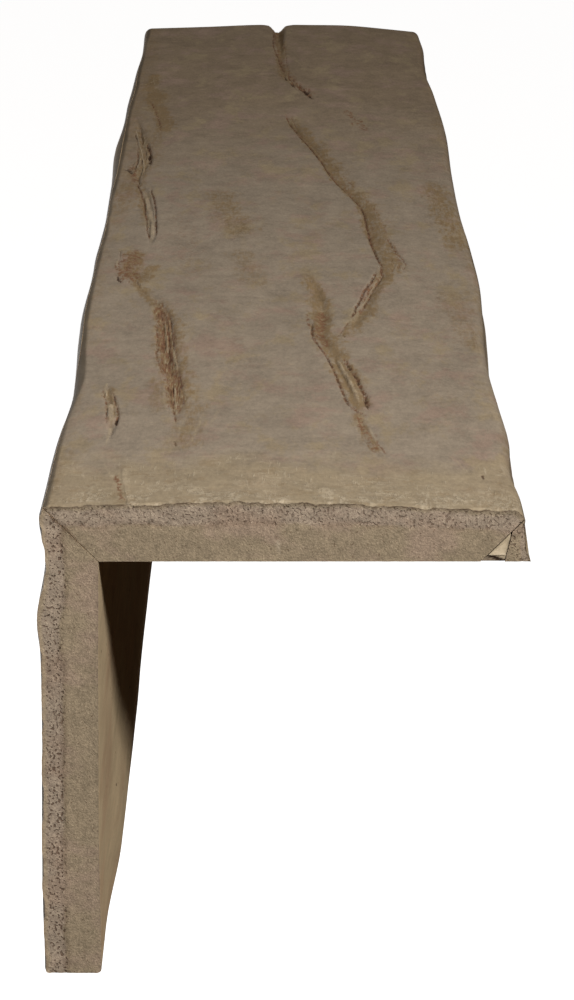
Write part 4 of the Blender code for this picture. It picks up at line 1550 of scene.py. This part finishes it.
@dataclass
class SideBoard(Board):
    """The tall board, mitred at its upper edge, hewn outside and planed inside."""

    columns: int = 112
    end_seeds: tuple[int, int] = (451, 471)
    skin_seed: int = 331
    foot_turn: tuple[float, float] = (0.0028, 5.0)
    foot_held: float = 0.004
    inner_sway: float = 0.0010
    foot_bulge: float = 0.0029
    pit_start: float = 0.05
    pit_strength: float = 0.9

    def build(self, finishes: Finishes) -> Object:
        """Builds the board: its two sides as matching grids, sawn ends, and flat polygons for foot and mitre.

        Args:
            finishes: The materials.

        Returns:
            The piece.
        """
        b = self.blank
        along = self.stations()
        share = b.share(along)
        high = b.left_mitre(share, b.inner_corner_x - b.half_gap_shift)
        offset = b.side_foot + b.foot_radius
        turns = ((0.0, *self.foot_turn), (b.bends[0], *self.arris_turn))
        developed = self.crowded(SIDE_STROKES, along, np.zeros_like(high), high, offset, self.columns, turns)
        x, z = b.outline(developed, share[:, None])
        y = np.repeat(along[:, None], self.columns, axis=1)
        relief = Relief.of(SIDE_STROKES, z, y)
        held = ease((high[:, None] - developed) / self.held_edge) * ease(developed / self.foot_held + 0.2)
        depth = (relief.sink + self.weathering(developed, y)) * held
        x, z = self.sunk(x, z, np.maximum(depth, 0.0))
        foot = np.clip(1 - developed / b.foot_radius, 0, 1)
        x = x + b.foot_radius * (1 - np.sqrt(1 - foot ** 2))
        z = np.where(foot > 0, b.side_foot + b.foot_radius * (1 - foot), z)
        wear_and_shade = self.rim_wear_and_shade(developed, high - 1.0, high, y)
        # Here the painted shadow line at the sawn ends is weaker, and painted shade covers the side's top by
        # the mitre, where it turns away from the light.
        wear_and_shade["dark"] = wear_and_shade["dark"] * 0.6
        wear_and_shade["shade"] = 0.8 * ease((developed - high[:, None]) / 0.007 + 1)
        relief.wear_and_shade(wear_and_shade)
        shell = Shell()
        inner = self.inner_side(developed / high[:, None], y)
        edges = ((0, Finishes.END), (-1, Finishes.BACK))
        self.closed(shell, np.stack([x, y, z], axis=-1), inner, relief.tints, {"rind": np.ones(y.shape)},
                    Finishes.BACK, edges)
        return shell.piece("hewn_side_board", finishes.board(), self.sharp)

    def inner_side(self, rise: Array, y: Array) -> Array:
        """The planed inner side: flat with a slight sway, a little fuller low down behind the near end.

        Args:
            rise: Share of the height, from the foot to the mitre.
            y: Metres along.

        Returns:
            Its points.
        """
        b = self.blank
        z = b.side_foot + rise * (-b.half_gap_shift - b.side_foot)
        sway = 0.5 - 0.5 * Grain.BACK_SWAY.at(z, y)
        behind = y - b.near_y
        fuller = ease((behind - 0.05) / 0.13) * (1 - 0.45 * ease((behind - 0.30) / 0.40))
        fuller = fuller * (1 - ease((z + 0.165) / 0.04))
        x = b.inner_corner_x - self.inner_sway * sway * ease(-z / 0.05) + self.foot_bulge * fuller
        foot = np.clip(1 - (z - b.side_foot) / b.foot_radius, 0, 1)
        return np.stack([x - b.foot_radius * (1 - np.sqrt(1 - foot ** 2)), y, z], axis=-1)


@dataclass
class ReturnStrip(Board):
    """The narrow strip that closes the free edge."""

    columns: int = 34
    end_steps: int = 12
    end_seeds: tuple[int, int] = (481, 491)
    skin_seed: int = 351
    sharp: float = 50.0
    foot_held: float = 0.002
    tip: float = 0.00015
    pit_end: float = 1.0
    pit_strength: float = 0.8

    def build(self, finishes: Finishes) -> Object:
        """Builds the strip: its outer side and its inner faces as matching grids, with a blunt tip between.

        Args:
            finishes: The materials.

        Returns:
            The piece.
        """
        b = self.blank
        along = self.stations()
        share = b.share(along)
        low = b.right_mitre(share, b.mitre_foot_x + b.half_gap_shift)
        foot = b.bends[-1] + b.wall - b.arris_radius
        developed = low[:, None] + (foot - low)[:, None] * np.linspace(0, 1, self.columns)[None, :]
        x, z = b.outline(developed, share[:, None])
        y = np.repeat(along[:, None], self.columns, axis=1)
        held = ease((developed - low[:, None]) / self.held_edge) * ease((foot - developed) / self.foot_held)
        x, z = self.sunk(x, z, self.weathering(developed, y) * held)
        outer = np.stack([x, y, z], axis=-1)
        worn = Grain.STRIP_WEAR.at(developed, y)
        # Worn ochre and rust, and a painted shadow line along the near sawn end.
        outer_paint = {"ochre": 0.40 + 0.30 * worn, "rust": 0.25 * ease(worn / 0.6),
                       "dark": 0.5 * (1 - ease((y - b.near_y) / 0.0016))}
        inner_paint = {"rind": np.full(y.shape, 0.3), "pits": np.full(y.shape, 0.6)}
        shell = Shell()
        edges = ((-1, Finishes.BACK), (0, Finishes.END))
        self.closed(shell, outer, self.inner_faces(outer, y), outer_paint, inner_paint, Finishes.END, edges)
        return shell.piece("return_strip_skin", finishes.board(), self.sharp)

    def inner_faces(self, outer: Array, y: Array) -> Array:
        """The mitre down to the kink and the leaning face below it, as straight runs from the blunt tip.

        Args:
            outer: The outer side's points.
            y: Metres along.

        Returns:
            The inner points.
        """
        b = self.blank
        kink_z = b.wall * b.strip_kink_share
        kink_x = b.mitre_foot_x + b.half_gap_shift + kink_z
        foot_x = b.half_width - b.strip_foot_width
        start_x, start_z = outer[:, :1, 0] - self.tip, outer[:, :1, 2] - self.tip
        share = np.linspace(0, 1, self.columns)[None, :]
        to_kink, to_foot = np.clip(share / 0.4, 0, 1), np.clip((share - 0.4) / 0.6, 0, 1)
        x = start_x + (kink_x - start_x) * to_kink + (foot_x - kink_x) * to_foot
        z = start_z + (kink_z - start_z) * to_kink - kink_z * to_foot
        return np.stack([x, y, z], axis=-1)


@dataclass
class GlueBead:
    """The glue in the open wedge of the strip's joint, hollow below its near end, with painted shade there.
    """

    blank: Blank
    rows: int = 380
    around: int = 88
    lump: float = 0.00030
    board_gap: float = 0.00012
    strip_gap: float = 0.00018
    near_foot: float = 0.0027
    foot: float = 0.00005
    shade_line_fall: float = 0.42
    shade_line_half: float = 0.0007
    shade_line_edge: float = 0.0004
    thinnest: float = 0.00005
    cap_steps: int = 5
    cap_bulge: float = 0.0007
    sharp: float = 50.0
    lead: tuple[float, ...] = (
        0.0, 0.0003, 0.00045, 0.0006, 0.00075, 0.0009, 0.00105, 0.0012, 0.0014, 0.0016, 0.0023, 0.0031,
        0.0042, 0.0060)
    corners: tuple[tuple[int, ...], ...] = ((0, 1, 2, 3, 4), (0, 1, 1, 0, 0), (0, 0, 1, 1, 0))

    def build(self, finishes: Finishes) -> Object:
        """Builds the bead: a boxy ring squeezed into the wedge, carried along with lumps.

        The ring walks around a square: along the foot to the strip, up to the peak, back and down the board.

        Args:
            finishes: The materials.

        Returns:
            The piece.
        """
        b = self.blank
        lo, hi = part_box("glue_bead")
        lead = np.array(self.lead)
        along = np.concatenate([lo.y + lead, np.linspace(lo.y + lead[-1] + 0.003, hi.y, self.rows)])
        kink_z = b.wall * b.strip_kink_share
        lean = (b.mitre_foot_x + kink_z - b.half_width + b.strip_foot_width) / kink_z
        turn, across, up = self.corners
        walk = np.linspace(0, turn[-1], self.around, endpoint=False)
        side, lift = np.interp(walk, turn, across), np.interp(walk, turn, up)
        hollow = 1 - ease((along - lo.y - 0.0003) / 0.0012)
        foot = (self.near_foot + 0.0004) * hollow - 0.0004
        z = foot[:, None] + (hi.z - foot)[:, None] * lift[None, :]
        board_x = b.mitre_foot_x + z + self.board_gap
        strip_x = b.mitre_foot_x + kink_z - lean * (kink_z - z) - self.strip_gap
        x = board_x + np.maximum(strip_x - board_x, self.thinnest) * side[None, :]
        sag = 0.5 + 0.5 * Grain.BEAD_SAG.at(walk[None, :] * 3, along[:, None])
        shrink = self.lump * sag / 0.004 * ease((z - 0.0005) / 0.003)
        middle_x, middle_z = x.mean(axis=1, keepdims=True), z.mean(axis=1, keepdims=True)
        x, z = x + (middle_x - x) * shrink, np.maximum(z + (middle_z - z) * shrink, self.foot)
        y = np.repeat(along[:, None], self.around, axis=1)
        # Painted shade standing for the dark hole below the near end: a band along a slanting line, fading
        # out about 10 mm in, with foam crumbs coloured below it.
        behind = along - lo.y
        deep = ease(behind / 0.0007 + 0.3) * (1 - ease((behind - 0.010) / 0.02))
        shade_line = self.near_foot + 0.0003 - self.shade_line_fall * (x - b.mitre_foot_x - self.near_foot)
        shade_line = shade_line + self.shade_line_edge * Grain.BEAD_SHADE_LINE.at(x, z)
        gap = 1 - ease((np.abs(z - shade_line) - self.shade_line_half) / self.shade_line_edge)
        crumbs = 1 - ease((z - shade_line + self.shade_line_half) / self.shade_line_edge)
        shell = Shell()
        ring = shell.add(np.stack([x, y, z], axis=-1), dark=gap * deep[:, None],
                         rind=np.where(z < self.near_foot, crumbs, 0.0))
        shell.skin(np.concatenate([ring, ring[:, :1]], axis=1), 0, flip=True)
        for row, toward in ENDS:
            rim = np.stack([x[row], y[row], z[row]], axis=-1)[None]
            middle = np.array([[[middle_x[row, 0], y[row, 0], middle_z[row, 0]]]])
            share = np.linspace(0.25, 1, self.cap_steps, endpoint=False)[:, None, None]
            points = middle * (1 - share) + rim * share
            rough = Grain.BEAD_CAP.at(points[:, :, 0], points[:, :, 2])
            points[:, :, 1] += toward * self.cap_bulge * (1 - share[:, :, 0] ** 2) * (0.6 + 0.4 * rough)
            # Painted shade in the gap between the cap and the strip.
            strip_gap_shade = 0.8 * ease((side[None, :] - 0.9) / 0.1) * ease((share[:, :, 0] - 0.6) / 0.4)
            cap = shell.add(points, dark=strip_gap_shade * np.clip(0.3 + 1.2 * rough, 0, 1))
            grid = np.concatenate([cap, ring[row][None]])
            shell.skin(np.concatenate([grid, grid[:, :1]], axis=1), 0, flip=toward > 0)
            shell.polygon(cap[0] if toward > 0 else cap[0][::-1], 0)
        return shell.piece("cream_glue_bead", [finishes.glue], self.sharp)


@dataclass(frozen=True)
class Lamp:
    """A square soft light: where it stands, what it points at, its side and its watts."""

    place: tuple[float, float, float]
    aim: tuple[float, float, float]
    size: float
    power: float


@dataclass(frozen=True)
class Studio:
    """The camera at the photograph's viewing angle, a plain pale floor far below, and soft light."""

    lens: float = 164.55
    sensor: float = 36.0
    camera_place: tuple[float, float, float] = (0.0002, -2.6079, 0.4725)
    pitch_down: float = 13.496
    yaw: float = -0.0134
    sight: float = 200.0
    floor_level: float = -1.0
    floor_span: float = 60.0
    lamps: tuple[tuple[str, Lamp], ...] = (
        ("key", Lamp((1.2, -2.9, 1.3), (0.0, -0.6, 0.0), 0.35, 94.0)),
        ("overhead", Lamp((0.1, -1.2, 2.2), (0.0, -0.6, 0.0), 1.6, 33.0)),
        ("back", Lamp((-2.4, 2.6, -0.3), (0.0, 0.0, -0.1), 1.6, 62.0)))
    fill: float = 0.03
    fill_tone: tuple[float, float, float, float] = (1.0, 0.70, 0.45, 1.0)

    def set_up(self) -> None:
        """Places everything that isn't the beam."""
        self.camera()
        self.floor()
        for name, lamp in self.lamps:
            self.hang(name, lamp)
        self.sky()

    def camera(self) -> None:
        """The photograph's camera: long, unshifted, looking down the beam."""
        data = bpy.data.cameras.new("camera")
        data.lens = self.lens
        data.sensor_width = self.sensor
        data.clip_end = self.sight
        holder = placed("camera", data)
        holder.location = self.camera_place
        turns = (math.radians(90 - self.pitch_down), 0.0, math.radians(self.yaw))
        holder.rotation_euler = Euler(turns, "XYZ")
        bpy.context.scene.camera = holder

    def floor(self) -> None:
        """A pale floor well below the beam, lit evenly so that it stays plain."""
        half = self.floor_span / 2
        mesh = bpy.data.meshes.new("floor")
        corners = [(-half, -half, self.floor_level), (half, -half, self.floor_level),
                   (half, half, self.floor_level), (-half, half, self.floor_level)]
        mesh.from_pydata(corners, [], [(0, 1, 2, 3)])
        material = bpy.data.materials.new("pale_floor")
        material.use_nodes = True
        shader = material.node_tree.nodes["Principled BSDF"]
        shader.inputs["Base Color"].default_value = (0.85, 0.85, 0.85, 1.0)
        shader.inputs["Roughness"].default_value = 0.9
        shader.inputs["Emission Color"].default_value = (1.0, 1.0, 1.0, 1.0)
        shader.inputs["Emission Strength"].default_value = 0.95
        mesh.materials.append(material)
        ground = placed("floor", mesh)
        ground.visible_diffuse = False
        ground.visible_glossy = False

    def hang(self, name: str, lamp: Lamp) -> None:
        """Places one light.

        Args:
            name: Its name.
            lamp: The light.
        """
        data = bpy.data.lights.new(name, "AREA")
        data.size = lamp.size
        data.energy = lamp.power
        holder = placed(name, data)
        holder.location = lamp.place
        holder.rotation_euler = (Vector(lamp.aim) - Vector(lamp.place)).to_track_quat("-Z", "Y").to_euler()

    def sky(self) -> None:
        """A white surround that gives only a little warm light."""
        world = bpy.data.worlds.new("surround")
        world.use_nodes = True
        tree = world.node_tree
        tree.nodes.clear()
        light = tree.nodes.new("ShaderNodeBackground")
        light.inputs["Color"].default_value = self.fill_tone
        light.inputs["Strength"].default_value = self.fill
        seen = tree.nodes.new("ShaderNodeBackground")
        seen.inputs["Color"].default_value = (1.0, 1.0, 1.0, 1.0)
        rays = tree.nodes.new("ShaderNodeLightPath")
        mixed = tree.nodes.new("ShaderNodeMixShader")
        out = tree.nodes.new("ShaderNodeOutputWorld")
        tree.links.new(rays.outputs["Is Camera Ray"], mixed.inputs[0])
        tree.links.new(light.outputs[0], mixed.inputs[1])
        tree.links.new(seen.outputs[0], mixed.inputs[2])
        tree.links.new(mixed.outputs[0], out.inputs["Surface"])
        bpy.context.scene.world = world
        bpy.context.scene.view_settings.view_transform = "Standard"


def fit(piece: Object, node: str) -> None:
    """Ties a piece to its body, hides the imported node that it stands for, and logs its faces."""
    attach(piece, "root")
    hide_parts(node)
    LOG.info("%s: %d faces", piece.name, len(piece.data.polygons))


def main() -> None:
    """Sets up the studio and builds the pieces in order."""
    logging.basicConfig(level=logging.INFO, format="%(message)s")
    Studio().set_up()
    blank = Blank()
    finishes = Finishes.mixed()
    fit(FaceBoard(blank).build(finishes), "face_board")
    fit(SideBoard(blank).build(finishes), "side_board")
    fit(ReturnStrip(blank).build(finishes), "return_strip")
    fit(GlueBead(blank).build(finishes), "glue_bead")


if __name__ == "__main__":
    main()
